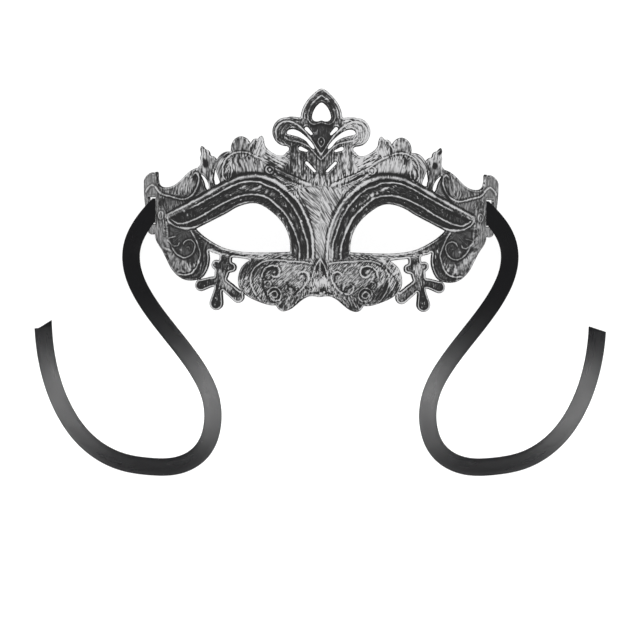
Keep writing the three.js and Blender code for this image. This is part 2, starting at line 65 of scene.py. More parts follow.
# ------------------------------------------------------------ plan of the mask
# Drawing units: distance from the midline, row counted downwards.
SHAPES = {
    "crest_ring": ("blob", [(0, 88.2), (10, 95.3), (16.2, 103), (19.4, 110), (20.7, 118), (18.5, 127), (10, 134), (0, 136), (-10, 134), (-18.5, 127), (-20.7, 118), (-19.4, 110), (-16.2, 103), (-10, 95.3)]),
    "crest_scroll": ("oval", (35.3, 131.6, 13.5, 14.1)),
    "crest_fan": ("blob", [(0, 118), (20, 117.6), (34, 117.5), (38, 130), (36, 144), (32.2, 147.6), (32, 150), (33.4, 152), (30, 164), (18, 176), (0, 186)]),
    "brow_leaf": ("blob", [(33.2, 151.5), (36.8, 154.8), (40.6, 155.9), (45, 154.8), (53, 149.8), (56.6, 144.8), (57.5, 139.5), (59.4, 135.9), (61.8, 137.2), (63.2, 139.2), (66.2, 138.9), (69, 141), (71, 146), (76, 160), (50, 176), (30, 168)]),
    "brow_lobe": ("oval", (79.9, 149.1, 10.3, 12.4)),
    "brow_shell": ("oval", (92.8, 170.2, 13.6, 18.2)),
    "bud": ("blob", [(119.6, 146.4), (117.8, 147.6), (116, 149.8), (113.2, 150.6), (111.4, 153), (110.6, 156), (107.6, 156.8), (104.6, 159.8), (103.4, 166), (106.2, 172), (107.4, 180), (107.4, 188), (112, 191.5), (114, 184), (116, 179.5), (119.4, 174.4), (123, 171.4), (122.9, 168.2), (121.1, 165.8), (120.2, 162.2), (121, 158), (119.9, 154.2), (120.9, 150)]),
    "temple_lobe": ("blob", [(118.5, 171.5), (123.2, 168.6), (128.5, 170.4), (134, 174.4), (139, 179.5), (144, 184.1), (149, 187), (155, 188.2), (160, 187.4), (163, 184.6), (164.4, 180), (168, 180), (166, 196), (158, 212), (130, 212), (117, 194)]),
    "wing": ("blob", [(164.6, 188), (164.5, 181.4), (164.3, 175.4), (164.7, 172.8), (165.8, 172.5), (167.1, 174.1), (169.7, 173), (173.4, 174.6), (176.8, 178.4), (178.6, 184.2), (179.3, 192), (178.6, 201), (177.3, 210), (175.7, 221), (174.4, 228), (172.6, 233.4), (169.4, 235.2), (166, 233.4), (163, 222), (161, 205)]),
    "lower_lobe": ("blob", [(165.8, 234), (164.6, 240.6), (161.6, 246.2), (158.4, 251), (153.8, 260), (149.9, 267.6), (146.6, 272.2), (142, 276.6), (136.4, 279.8), (129, 281), (122, 279.9), (117, 276.8), (113.2, 270.5), (110.8, 262), (111.4, 252), (114.6, 241), (124, 229), (140, 214), (162, 206)]),
    "eye_sill": ("cap", [(113, 243.8, 5.6), (106, 249.2, 3.8), (97, 252.4, 3.4), (88, 254, 3.1), (75, 255.3, 3.2), (60, 257, 4.8)]),
    "cheek": ("blob", [(66, 258), (73.4, 262.2), (78.4, 267.2), (80.7, 272.5), (81.8, 278.5), (81.5, 285), (78.8, 290.4), (74.4, 294.8), (69, 298.2), (57, 303.1), (50, 304.9), (43.4, 304.8), (30, 300), (24, 280), (30, 256), (50, 252)]),
    "lip": ("blob", [(44.2, 303.2), (42.2, 307.9), (38.8, 310.6), (35, 310.9), (30, 308.8), (25.6, 305.4), (18.3, 299.2), (11, 295.8), (5, 295.6), (0, 296.2), (-8, 290), (0, 280), (30, 284), (44, 294)]),
    "face": ("blob", [(-12, 150), (0, 130), (12, 150), (28, 160), (42, 161), (62, 148), (80, 152), (98, 160), (105, 180), (122, 182), (140, 190), (158, 196), (162, 214), (156, 240), (140, 262), (122, 262), (113, 248), (90, 252), (70, 258), (66, 272), (56, 290), (36, 298), (16, 292), (0, 290), (-16, 292), (-24, 260), (-24, 200)]),
    "pendant_neck": ("cap", [(94, 252, 6.2), (94.6, 262, 6), (98.2, 273, 6.9), (100, 283, 5.4)]),
    "pendant_knop": ("cap", [(103.6, 265, 4.9), (97, 268, 6), (88.4, 267.4, 4.9)]),
    "pendant_outer_drop": ("cap", [(101, 281.4, 5.2), (109, 282.2, 5), (118.8, 285.5, 6)]),
    "pendant_middle_drop": ("cap", [(100.4, 283, 4), (101.6, 290, 4), (103.4, 303.6, 6.8)]),
    "pendant_inner_drop": ("cap", [(99, 281.5, 5.2), (90, 289.4, 5.8), (81.5, 296.8, 6.1)]),
}
HOLES = {
    "eye": ("leaf", [(30, 251.6), (30, 246), (31.3, 237), (34.7, 228), (40.8, 219.2), (50, 210.9), (59, 205.2), (66, 203.4), (74, 204.2), (84, 207.8), (95, 214.2), (110, 221.7), (125, 229.3)], [(125, 229.3), (117.6, 236), (106, 243.5), (94.5, 248.7), (80, 251.7), (60, 252.6), (30, 251.6)]),
    "crest_eye": ("blob", [(0, 101.6), (4.4, 104.6), (7.5, 109.2), (9.3, 114.6), (9.3, 118.4), (6.8, 120.9), (3.2, 121.2), (0, 120.2), (-3.2, 121.2), (-6.8, 120.9), (-9.3, 118.4), (-9.3, 114.6), (-7.5, 109.2), (-4.4, 104.6)]),
    "scroll_slit": ("blob", [(29.5, 128.7), (33.8, 130.4), (34.4, 133.6), (28.5, 135.3), (20.8, 137.7), (15, 141.2), (10.2, 147), (7, 149.2), (6.4, 147.6), (9.1, 142.6), (15.6, 135.8), (23, 130.4)]),
    "fan_slit": ("cap", [(14.8, 128.2, 2.1), (9.8, 133.6, 1.4)]),
    "vee_slit": ("cap", [(20.6, 148.2, 2.2), (14.3, 150.6, 1.3)]),
    "root_slit": ("cap", [(14.5, 162.3, 1.6), (6.2, 170.9, 1.4)]),
    "bud_gap_inner": ("face", [(106, 168.4), (107, 177), (106.3, 185.2), (103, 184.8), (100.6, 182.8), (103.7, 174.6)]),
    "bud_gap_outer": ("blob", [(120.9, 174.4), (117.2, 176.8), (114, 180.8), (111.9, 186), (111.8, 188.8), (113.7, 190.6), (115.5, 188), (117, 182.6), (119.2, 178)]),
    "ribbon_slot": ("face", [(165.3, 197.8), (173.2, 197.8), (173.2, 224.6), (165.3, 224.6)]),
}

# Raised lines: half width in drawing units, height in mm, silver on the crest of
# the line (picture left, picture right), run.
LINES = {
    "frame_outer": (1.8, 0.95, 0.8, 0.8, [(153, 217), (146.4, 213), (137.6, 208.4), (126.4, 202.3), (115.3, 196.3), (104.2, 189.9), (93, 183.5), (82, 178.8), (71, 176.8), (60, 176.8), (50, 179.7), (41, 184.7), (33, 191), (28, 195.5)]),
    "frame_face": (2.3, 0.5, 0.62, 0.32, [(150, 216.4), (140, 211.6), (128, 205.4), (116, 199.2), (105, 193), (96, 188), (86, 183)]),
    "frame_flank": (1.05, 0.95, 0.85, 0.85, [(34, 190.2), (28, 195.5), (23.5, 200), (19.5, 206), (16.5, 212), (13.5, 218), (11.3, 224), (9.2, 230), (8, 236), (7.4, 242), (7, 248), (6.8, 258)]),
    "flank_band": (2.2, 0.2, 0.0, 0.8, [(34, 191), (28, 197.4), (23.8, 203.6), (20.4, 210), (17, 217.4), (13.6, 226), (11.2, 234), (10, 242), (9.6, 250), (9.6, 258)]),
    "frame_second": (1.1, 0.6, 1.05, 1.05, [(151.6, 218.3), (145.3, 215.3), (137.6, 211.6), (128.7, 207.6), (119.8, 203.3), (111, 198.2), (104.2, 194.8), (97.6, 190.9), (88, 186.1), (80, 183), (71, 181.8), (60, 182.8), (54.4, 185.6), (47.8, 187.6), (41, 192), (33, 200), (28, 206), (24.5, 212), (21, 218), (18.8, 224), (16.9, 230), (15, 236), (13.1, 242), (12.5, 248), (12.4, 258)]),
    "frame_shelf": (1.5, 0.5, 0.7, 0.5, [(128, 207.2), (119.8, 203.3), (111, 198.2), (104.2, 194.8), (97.6, 190.9), (89, 186.6)]),
    "frame_inner": (1.1, 0.65, 1.0, 1.0, [(151.6, 218.0), (147.6, 221.2), (141.5, 224.2), (134.2, 223.2), (127, 220.5), (120, 217), (110, 211.3), (102, 206.3), (92, 201.2), (81, 196.6), (71, 194.8), (60, 195.6), (52.2, 198.3), (50, 200), (43.2, 206), (36.8, 212), (32.4, 218), (29.3, 224), (26.3, 230), (24, 236), (22, 242), (20.7, 248), (20.7, 258)]),
    "frame_rim": (1.0, 0.55, 0.95, 0.95, [(153.4, 217.6), (150.5, 222.6), (144.4, 226.8), (137.4, 228.6), (129, 228.4), (122.5, 226.4)]),
    "lid_bead": (0.75, 0.4, 0.75, 0.7, [(124, 227), (110.6, 220.2), (95.7, 212.6), (84.7, 206.2), (74.4, 202.5), (66, 201.8)]),
    "corner_bead": (0.7, 0.3, 0.7, 0.6, [(30.4, 238), (29.3, 246), (29, 254)]),
    "crest_rim": (0.8, 0.6, 0.7, 0.7, [(0, 95.4), (7.6, 101.8), (11.4, 107.6), (13.3, 113.8), (13.4, 119), (10.8, 123), (7.4, 124.4), (3.6, 123.6), (0, 122.4)]),
    "crest_vee_upper": (0.95, 0.7, 0.85, 0.75, [(43.6, 139), (45.4, 132.4), (43, 126.2), (37.6, 122.6), (31, 122), (24.6, 124.8), (18.4, 129.8), (12.4, 136.4), (6.6, 145), (0, 155)]),
    "crest_vee_lower": (0.8, 0.6, 0.7, 0.7, [(36.4, 137.6), (31.4, 140.6), (24.8, 141.8), (19.7, 143), (13.4, 146.2), (8.2, 151), (4, 155.8), (0, 160)]),
    "crest_diamond": (0.7, 0.5, 0.8, 0.8, [(0, 136.6), (2.3, 138.8), (3.3, 141.3), (2.3, 144.1), (0, 147)]),
    "crest_crease": (0.6, 0.3, 0.6, 0.2, [(29.6, 139.5), (29.4, 145), (29.4, 150.5), (29.2, 161), (29.4, 171)]),
    "field_streak": (0.5, 0.2, 0.5, 0.15, [(18.6, 153), (18.4, 162), (18.7, 171)]),
    "brow_scroll": (0.75, 0.8, 0.75, 0.75, [(21, 179.4), (32.2, 175), (43.3, 169.4), (52, 164), (59, 159.4), (65.6, 156.7), (73.3, 153.3), (82.2, 152.8), (90.5, 155.8), (94.8, 160.5), (97, 166), (97.3, 172), (97.6, 176), (96, 179), (93.3, 180.8), (90.6, 179.2), (89, 175), (88.4, 170.5)]),
    "brow_strap": (1.3, 0.5, 0.55, 0.5, [(50, 166.6), (43, 170.8), (32, 176.6), (21, 181), (10, 185.4)]),
    "brow_hook": (0.7, 0.4, 0.4, 0.4, [(82.8, 154.4), (85, 159.4), (84, 163.3), (82.2, 166)]),
    "leaf_curl": (0.7, 0.45, 0.5, 0.5, [(68.3, 143.3), (70.6, 146.7), (71.7, 151), (71, 154)]),
    "temple_scroll": (0.85, 0.75, 0.75, 0.75, [(127.2, 176.2), (124.6, 173.6), (122, 176), (121.5, 182), (123.8, 189.6), (128.8, 196.2), (135.8, 199.8), (143.5, 199), (150.5, 196.8), (158, 195), (161.6, 192), (164.3, 188), (168.2, 185.6), (172, 188), (175, 193)]),
    "temple_tick": (0.6, 0.25, 0.3, 0.3, [(137.8, 188.5), (139.4, 192.5), (137.4, 197)]),
    "strip_inner": (0.75, 0.35, 0.28, 0.3, [(158.1, 200), (155.3, 207.8), (154.8, 217.8), (153.1, 228.9), (152.6, 237.8)]),
    "lower_scroll": (0.85, 0.75, 0.85, 0.8, [(129.4, 230.6), (126.1, 236), (122.8, 242.5), (120.5, 249), (119.3, 255), (120.8, 261.7), (123.4, 268.3), (128.3, 273.6), (134.4, 275.2), (141, 274.6)]),
    "lower_spiral": (0.75, 0.55, 0.62, 0.6, [(149.5, 245.8), (145, 252.8), (139.5, 257.2), (134.5, 258), (128.8, 255), (125.6, 249.5), (125.2, 244.4), (127.8, 241.4), (131.9, 240.2), (135.5, 242), (137.2, 244.6)]),
    "lower_hook": (0.7, 0.45, 0.62, 0.6, [(152, 241), (149, 245), (145.6, 246.7), (142.2, 246), (141.1, 243.3)]),
    "lower_twig": (0.7, 0.4, 0.6, 0.3, [(152.2, 238.9), (145, 237)]),
    "lobe_rib": (0.7, 0.35, 0.45, 0.2, [(130.5, 250), (131, 247.6), (133.4, 247.4)]),
    "cheek_arc": (0.85, 0.7, 0.75, 0.7, [(8.3, 263.3), (18.3, 261.7), (29.4, 261.1), (40.6, 260), (51.7, 260.6), (59.4, 263.3), (66.1, 269.4), (68.9, 277.2), (67.8, 286.1), (63.9, 293.9), (58.9, 300.6)]),
    "spiral_upper": (0.75, 0.5, 0.85, 0.8, [(57.8, 277.2), (56.7, 271.7), (52.8, 267.2), (47.2, 265.3), (41.7, 266.7), (39.4, 270.6), (40.6, 274.4), (43.9, 276.7), (48.3, 275)]),
    "spiral_inner": (0.75, 0.5, 0.8, 0.8, [(21.1, 275.6), (20, 272.8), (16.1, 271.3), (12.2, 273.3), (11.1, 277.2), (12.2, 281.7), (15, 286.1), (18.3, 289.8), (22.6, 292.8)]),
    "rose": (0.7, 0.5, 0.8, 0.6, [(44.8 + r * math.cos(a), 294 + r * math.sin(a)) for a, r in [(0.5 * n, 3.1 + 3.5 * min(1.0, max(0.0, (n - 11) / 6)) + 0.02 * n) for n in range(29)]]),
    "petal_loop": (0.75, 0.45, 0.3, 0.75, [(23.6, 284.4), (22.2, 288.6), (24.4, 292.6), (28.6, 293.4), (32, 290), (32.4, 285.4), (30.4, 283.4)]),
    "fleur_side": (0.65, 0.5, 0.65, 0.75, [(0.3, 258.6), (2.6, 262.6), (4.8, 267), (6.4, 271.6), (7.4, 276.6)]),
    "fleur_spine": (0.6, 0.4, 0.6, 0.6, [(0, 258), (0, 266), (0, 277)]),
    "lip_rib": (0.7, 0.35, 0.1, 0.6, [(18, 296.5), (25, 302), (31, 307), (37, 308.6)]),
}
# Small raised rings: centre, radii, line half width, height, silver.
RINGS = [
    (50.9, 170, 3.6, 3.6, 0.72, 0.5, 0.6),
    (159.4, 216, 2.2, 3.8, 0.7, 0.4, 0.4),
    (159.6, 204, 2.0, 3.2, 0.6, 0.35, 0.2),
    (51.6, 283.9, 3.3, 3.2, 0.7, 0.4, 0.5),
]
# Dark engraved lines: side (-1 picture left, 1 right, 0 both), half width, depth in
# mm, darkness, run. The darkness is partly bare black ground and partly painted shade of the groove and its walls.
CUTS = [
    (-1, 0.8, 0.25, 0.9, [(80.4, 157), (82.4, 160), (81.6, 164), (79.6, 167)]),
    (-1, 0.7, 0.2, 0.8, [(86.6, 156.4), (88.2, 160.6), (87, 165)]),
    (-1, 0.7, 0.2, 0.7, [(73, 155.4), (75.8, 158.6), (74.6, 162.6)]),
    (-1, 0.7, 0.2, 0.6, [(64.5, 159.6), (66, 162.4), (64, 165)]),
    (-1, 0.7, 0.2, 0.6, [(92.6, 161), (94.6, 164.4), (94, 168)]),
    (1, 1.1, 0.25, 1.0, [(80.6, 155.4), (83.6, 158), (84.4, 161.6), (83.2, 165)]),
    (-1, 0.5, 0.2, 0.7, [(33, 184), (26, 189), (19.6, 198), (14.6, 207), (11.5, 216), (9.6, 221.6)]),
    (1, 0.8, 0.2, 0.75, [(40, 180.5), (34, 184.5), (27.6, 190), (22, 197.3), (15.8, 206.4), (10.4, 216.4)]),
    (0, 0.8, 0.2, 0.8, [(69.4, 146.6), (70.2, 150.6), (69.2, 154.6), (66.4, 157)]),
    (0, 0.7, 0.2, 0.9, [(66.6, 139.6), (65.4, 143), (66.4, 147), (65.2, 150)]),
    (0, 0.8, 0.25, 0.8, [(106.6, 163), (107.6, 170), (107.8, 178), (107.4, 186)]),
    (1, 0.5, 0.2, 0.3, [(50.9 + 2.2 * math.cos(a), 170 + 2.2 * math.sin(a)) for a in (0.0, 1.1, 2.2, 3.3, 4.4, 5.5, 6.3)]),
    (1, 0.6, 0.2, 0.55, [(50.9 + 5.2 * math.cos(a), 170 + 5.2 * math.sin(a)) for a in (0.4, 1.2, 2.0, 2.8, 3.6)]),
    (-1, 0.6, 0.25, 1.1, [(50.9 + 5.2 * math.cos(a), 170 + 5.2 * math.sin(a)) for a in (0.4, 1.2, 2.0, 2.8, 3.6, 4.4, 5.2, 6.0)]),
    (-1, 0.5, 0.2, 0.9, [(50.9 + 2.2 * math.cos(a), 170 + 2.2 * math.sin(a)) for a in (0.0, 1.1, 2.2, 3.3, 4.4, 5.5, 6.3)]),
    (0, 0.6, 0.2, 1.0, [(55.6, 161.4), (46, 167.4), (36, 172.4), (25, 177), (14, 181.6)]),
    (0, 0.65, 0.2, 0.95, [(48, 171.6), (40, 176.2), (30, 181), (20, 184.6)]),
    (0, 0.7, 0.2, 0.8, [(29.5, 150.5), (29.3, 160), (29.6, 173)]),
    (0, 0.8, 0.2, 0.9, [(52, 268.6), (48.6, 267.4), (44.4, 268.4), (42.8, 271.4), (44.6, 274)]),
    (0, 0.7, 0.2, 0.9, [(54.6, 271), (55.4, 276), (53, 280)]),
    (0, 0.7, 0.2, 0.8, [(33, 282), (30, 286), (25, 288), (23, 292), (27, 294.6)]),
    (0, 0.7, 0.2, 0.7, [(18.6, 274), (15.6, 274), (14, 277.4), (15.4, 282)]),
    (0, 0.7, 0.2, 0.8, [(36.4, 300), (38.6, 304), (42, 306.6)]),
    (0, 1.0, 0.3, 1.0, [(1.6, 263.4), (2.7, 267), (3.6, 271)]),
    (1, 1.4, 0.3, 1.0, [(2.9, 267.6), (3.9, 271.4), (4.2, 275)]),
    (0, 0.7, 0.2, 0.7, [(2.2, 257.6), (4.8, 261.6), (7.2, 266.6)]),
    (-1, 1.1, 0.25, 0.7, [(52.6, 271.6), (49, 268.8), (45, 268.6), (42.6, 271)]),
    (1, 1.3, 0.25, 0.9, [(49, 268.6), (45, 267.8), (42.4, 270.4), (42.6, 273.6)]),
    (-1, 1.0, 0.25, 1.0, [(56.4, 280), (56.2, 286), (53.6, 293), (49.4, 299.4), (44, 302.8)]),
    (-1, 0.7, 0.2, 0.8, [(33, 281), (30.8, 284.6), (31.8, 288.4)]),
    (-1, 0.7, 0.2, 0.8, [(28.4, 283), (27, 287.4), (23.6, 289.8)]),
    (0, 0.8, 0.25, 0.8, [(44.8 + 4.9 * math.cos(a), 294 + 4.9 * math.sin(a)) for a in (2.2, 2.8, 3.4, 4.0, 4.6, 5.2, 5.8)]),
    (1, 0.9, 0.25, 0.9, [(52, 281.6), (48.6, 284.6), (49.4, 288)]),
    (1, 0.8, 0.2, 0.9, [(21.4, 283.6), (20.6, 287.4), (22.8, 290.6), (27, 291.4)]),
    (0, 0.6, 0.2, 0.8, [(8.4, 266), (9.2, 271), (8.4, 277)]),
    (1, 0.9, 0.2, 1.0, [(60, 264), (68, 270), (74.4, 277), (76.8, 284), (75, 291)]),
    (1, 0.8, 0.2, 0.9, [(14, 296), (21, 300), (28, 305.4), (33, 308.8)]),
    (-1, 0.8, 0.2, 0.9, [(16, 297), (23, 301), (29, 305)]),
]
# Sunk fields: depth, width of the slope, cover of silver at left and right (None
# leaves the paint as it is), closed run.
FIELDS = {
    "eye_groove": (0.45, 1.0, 0.12, 0.10, [(151.5, 218), (137.6, 210), (126.4, 204), (115.3, 198), (104.2, 191.6), (93, 185.3), (82, 180.7), (71, 178.6), (60, 178.6), (51, 181.2), (42.4, 186), (34.2, 192.4), (25.4, 201), (21.4, 207), (18.2, 213), (15.3, 219), (13, 225), (11.2, 231), (9.8, 237), (9, 246), (8.6, 257), (27.5, 257), (28.2, 246), (30, 236), (33.4, 227), (39.6, 218.2), (49, 209.9), (58.4, 204.2), (66, 202.4), (74.6, 203.2), (84.4, 206.8), (95.4, 213.2), (110.4, 220.9), (124, 227.2), (137, 226.8), (146, 224)]),
    "crest_field": (0.5, 0.9, 0.1, 0.1, [(0, 124.4), (8, 126), (15.6, 125.6), (17.6, 128), (13, 133.4), (8.4, 139), (4.4, 145.6), (0, 152)]),
    "crest_band": (0.25, 1.0, 0.12, 0.18, [(0, 96.4), (8, 102.6), (12, 109), (13.4, 115), (12.6, 120), (8, 122.4), (0, 121.6), (0, 100)]),
    "brow_underside": (0.25, 1.0, 0.14, 0.16, [(47, 177.4), (54, 175), (62, 172.8), (72, 172.2), (84, 175.4), (91, 179.6), (98, 184), (104.8, 187.8), (98, 186), (90, 181.4), (82, 177.4), (71, 175.4), (60, 175.5), (50, 178.4)]),
    # temple_field and lower_field: the cover here is partly silver paint and partly a painted sheen that lifts the bare
    # black to an even grey
    "temple_field": (0.45, 1.2, 0.51, 0.59, [(119.4, 177), (119.8, 184), (122, 191), (127.4, 198), (135.4, 201.8), (143.8, 201), (151, 198.8), (157, 197.4), (154.6, 203), (153, 210), (151, 214.6), (144, 210), (130, 202.4), (117, 195.6), (112.8, 192)]),
    "lower_field": (0.5, 1.2, 0.34, 0.36, [(150.6, 224.8), (143, 229.8), (133.4, 231), (129.4, 236.6), (125.6, 242.6), (123, 249), (122, 255), (123.2, 260.4), (127.6, 262.8), (135, 262), (142.6, 257.4), (148.8, 250.6), (152, 241), (152.6, 231)]),
    "lower_foot": (0.0, 1.0, 0.60, 0.64, [(122.4, 263.4), (128, 262.6), (135, 261.8), (142, 258), (148.8, 251.4), (152.4, 244), (154, 250), (148.6, 262), (144, 269), (138.6, 273.4), (131, 272.6), (125, 268.4)]),
    "lower_crescent": (0.35, 1.0, 0.18, 0.2, [(123, 236), (118.4, 243), (114.4, 250), (113, 258), (113.8, 267), (118, 274), (124.6, 278), (131, 279), (138, 278.2), (129, 276.2), (122.4, 270.6), (118.4, 262), (117.4, 254), (119.6, 246)]),
    "cheek_crescent": (0.3, 1.2, None, None, [(56, 258.6), (64, 261), (71, 265.4), (76.2, 270.6), (78.6, 276), (78.2, 282), (76, 288), (73, 290), (71, 282), (71, 274), (67, 267), (61, 262)]),
    "sill_groove": (0.3, 0.7, 0.25, 0.45, [(117, 238.4), (108, 245.6), (98, 250.4), (88, 253.2), (76, 255.2), (76, 256.4), (88, 255.4), (99, 252.8), (109, 248.6), (118, 242)]),
    "slot_patch": (0.0, 0.8, 0.2, 0.4, [(156.8, 200), (161.4, 199.6), (161.8, 206), (157.4, 206.6)]),
}
# Domed lobes: oval, rise.
DOMES = [
    ((79.9, 148, 9.6, 11.6), 0.6),
    ((98, 166, 10, 14), 0.5),
    ((60, 150, 9, 8), 0.4),
    ((72, 167.5, 20, 8.5), 0.55),
    ((113.6, 162, 5.6, 8), 0.6),
    ((110.4, 180, 2.8, 10), 0.4),
    ((40, 281, 26, 17), 0.7),
    ((16, 279, 13, 12), 0.5),
    ((138, 186, 16, 9), 0.5),
    ((136, 268, 10, 7), 0.4),
    ((36, 131, 11, 11.6), 0.35),
    ((75, 283, 5, 10), 0.4),
]
# Single marks: side, centre, radii, tilt in degrees, relief in mm, silver (+) or
# darkness (-); in the sunk marks the darkness is partly bare black and partly painted shade in the pit.
MARKS = [
    (-1, 115.0, 164.0, 2.5, 3.6, 10, -0.5, -2.2), (1, 113.2, 164.6, 1.9, 2.6, -8, -0.45, -2.2), (1, 2.4, 93.6, 2.6, 1.5, 0, 0.0, -0.8), (1, 9.2, 102, 1.5, 4.0, -32, 0.0, -0.7), (-1, 3.4, 97.6, 2.0, 1.4, 30, 0.0, 0.45), (-1, 14.6, 106, 1.4, 4.0, 20, 0.0, -0.6), (-1, 9.4, 100.6, 1.3, 3.4, 40, 0.0, 0.4), (1, 16, 112, 1.3, 3.6, -15, 0.0, 0.4), (1, 15.4, 118.6, 1.4, 2.0, 0, 0.0, -0.6), (0, 0, 141.4, 1.6, 2.8, 0, -0.2, -0.5), (0, 0, 141.4, 0.6, 1.4, 0, 0.1, 1.6), (1, 2.6, 289.4, 4.2, 2.3, 10, -0.4, -1.5), (-1, 1.6, 292.0, 2.6, 1.3, 0, -0.3, -1.3), (1, 0.6, 292.6, 1.1, 0.9, 0, 0.2, 2.0), (1, 4.6, 291.4, 1.3, 1.0, 0, 0.1, 1.4), (1, 9, 292.4, 3.0, 1.0, 25, -0.2, -1.0), (0, 9, 287.4, 2.6, 1.0, 20, -0.2, -0.4), (-1, 12, 288.6, 2.0, 1.4, 0, -0.2, -0.3),
    (-1, 77.6, 187.8, 3.2, 1.1, 35, 0.1, 1.0), (-1, 73, 189.4, 2.0, 0.8, 30, 0.1, 0.7), (-1, 65.8, 189.2, 3.6, 1.2, 25, 0.1, 1.0), (-1, 60.6, 186.6, 2.6, 1.0, 40, 0.1, 0.9), (-1, 61.4, 190.8, 2.2, 0.8, 20, 0.1, 0.8), (-1, 54, 191.4, 3.4, 1.1, 50, 0.1, 0.8), (-1, 49.6, 194.6, 2.6, 1.0, 55, 0.1, 0.8), (-1, 47, 195, 1.6, 2.2, 0, 0.1, 0.4), (-1, 24, 228, 1.2, 3.0, 10, 0.1, 0.35),
    (-1, 19, 240, 1.0, 4.0, 0, 0.1, 0.35), (-1, 38, 204, 1.4, 2.0, 0, 0.1, 0.35), (-1, 30, 214, 1.2, 2.0, 0, 0.1, 0.35), (-1, 95, 196, 2.0, 1.0, 20, 0.1, 0.3),
    (1, 51.6, 195, 1.8, 3.4, 20, 0.1, 1.1), (1, 47.4, 197.6, 1.0, 3.0, 25, 0.1, 0.8), (1, 56.4, 192.4, 1.1, 2.8, 15, 0.1, 0.7), (1, 62.8, 188.6, 3.4, 1.2, -30, 0.1, 1.0), (1, 66.6, 187, 2.2, 0.9, -20, 0.1, 0.8), (1, 43.6, 201.4, 1.0, 2.8, 30, 0.1, 0.8), (1, 72, 187.8, 1.6, 1.4, 0, 0.1, 0.35), (1, 40, 203, 2.0, 1.6, 0, 0.1, 0.5), (1, 33.4, 210, 1.6, 2.0, 0, 0.1, 0.5),
    (1, 29, 222, 1.0, 4.4, 18, 0.1, 0.8), (1, 25.6, 228, 1.1, 5.0, 14, 0.1, 0.8), (1, 31.6, 217, 0.9, 3.0, 24, 0.1, 0.7), (-1, 29, 217, 1.0, 3.0, 20, 0.1, 0.7), (-1, 18.6, 231, 0.9, 4.0, 10, 0.1, 0.6), (1, 22, 236, 1.4, 4.0, 0, 0.1, 0.4), (1, 90, 190, 2.4, 1.0, 20, 0.1, 0.3), (1, 118, 206, 2.4, 0.9, 28, 0.1, 0.25),
    (0, 58, 156, 2.0, 1.4, -30, -0.3, -0.8), (0, 52.2, 159.4, 1.8, 1.2, -30, -0.3, -0.8), (0, 46.7, 161.7, 1.6, 1.1, -30, -0.3, -0.7), (0, 43.3, 163.9, 1.2, 1.1, -30, -0.2, -0.6), (0, 38, 166, 1.5, 1.0, -30, -0.2, -0.5),
    (0, 50.9, 170, 1.1, 1.1, 0, 0.3, 0.8), (0, 44.4, 172.6, 1.2, 1.1, 0, -0.3, -1.4), (0, 40.8, 174.8, 1.2, 1.1, 0, -0.3, -1.4), (0, 37.2, 176.6, 1.2, 1.1, 0, -0.3, -1.3), (0, 33.6, 178.6, 1.2, 1.1, 0, -0.3, -1.2), (0, 30.4, 180.4, 1.0, 1.0, 0, -0.2, -0.7),
    (0, 159.4, 216, 0.9, 2.0, 0, 0.2, 0.3), (0, 139.4, 250.6, 1.2, 1.0, 0, 0.1, 0.45), (-1, 125.8, 178.6, 1.9, 4.0, 10, -0.2, -0.6), (1, 125.8, 178.6, 1.7, 3.6, 10, -0.2, -0.35), (0, 44.8, 294, 1.5, 1.5, 0, -0.2, -0.9), (-1, 104, 180.6, 1.6, 3.0, 0, -0.2, -0.5),
    (-1, 93.6, 162.6, 1.4, 1.6, 0, -0.2, -0.7), (0, 77, 151, 1.2, 2.6, 20, -0.2, -0.5), (-1, 71.6, 158.8, 1.2, 1.4, 0, -0.2, -0.7),
    (-1, 98.6, 275, 6.4, 2.8, 115, 0.0, 0.42), (-1, 92.4, 285.4, 6.0, 3.0, 128, 0.0, 0.46), (1, 98, 268, 4.0, 6.0, 0, 0.0, 0.45), (1, 101, 262, 2.6, 3.6, 0, 0.0, 0.4),
    (1, 63, 260, 5.0, 1.8, 50, 0.2, 0.6), (1, 25, 205, 3.0, 1.5, -40, 0.0, -0.5), (1, 3.4, 281, 4.6, 3.6, 0, 0.1, 0.45), (-1, 2.6, 282, 3.6, 2.6, 0, 0.1, 0.3), (1, 10, 252, 1.6, 6.5, 0, 0.1, 0.6), (1, 16.4, 252, 2.6, 6.5, 0, 0.1, 0.5), (-1, 24.6, 250, 2.4, 8.0, 0, 0.1, 0.38),
]
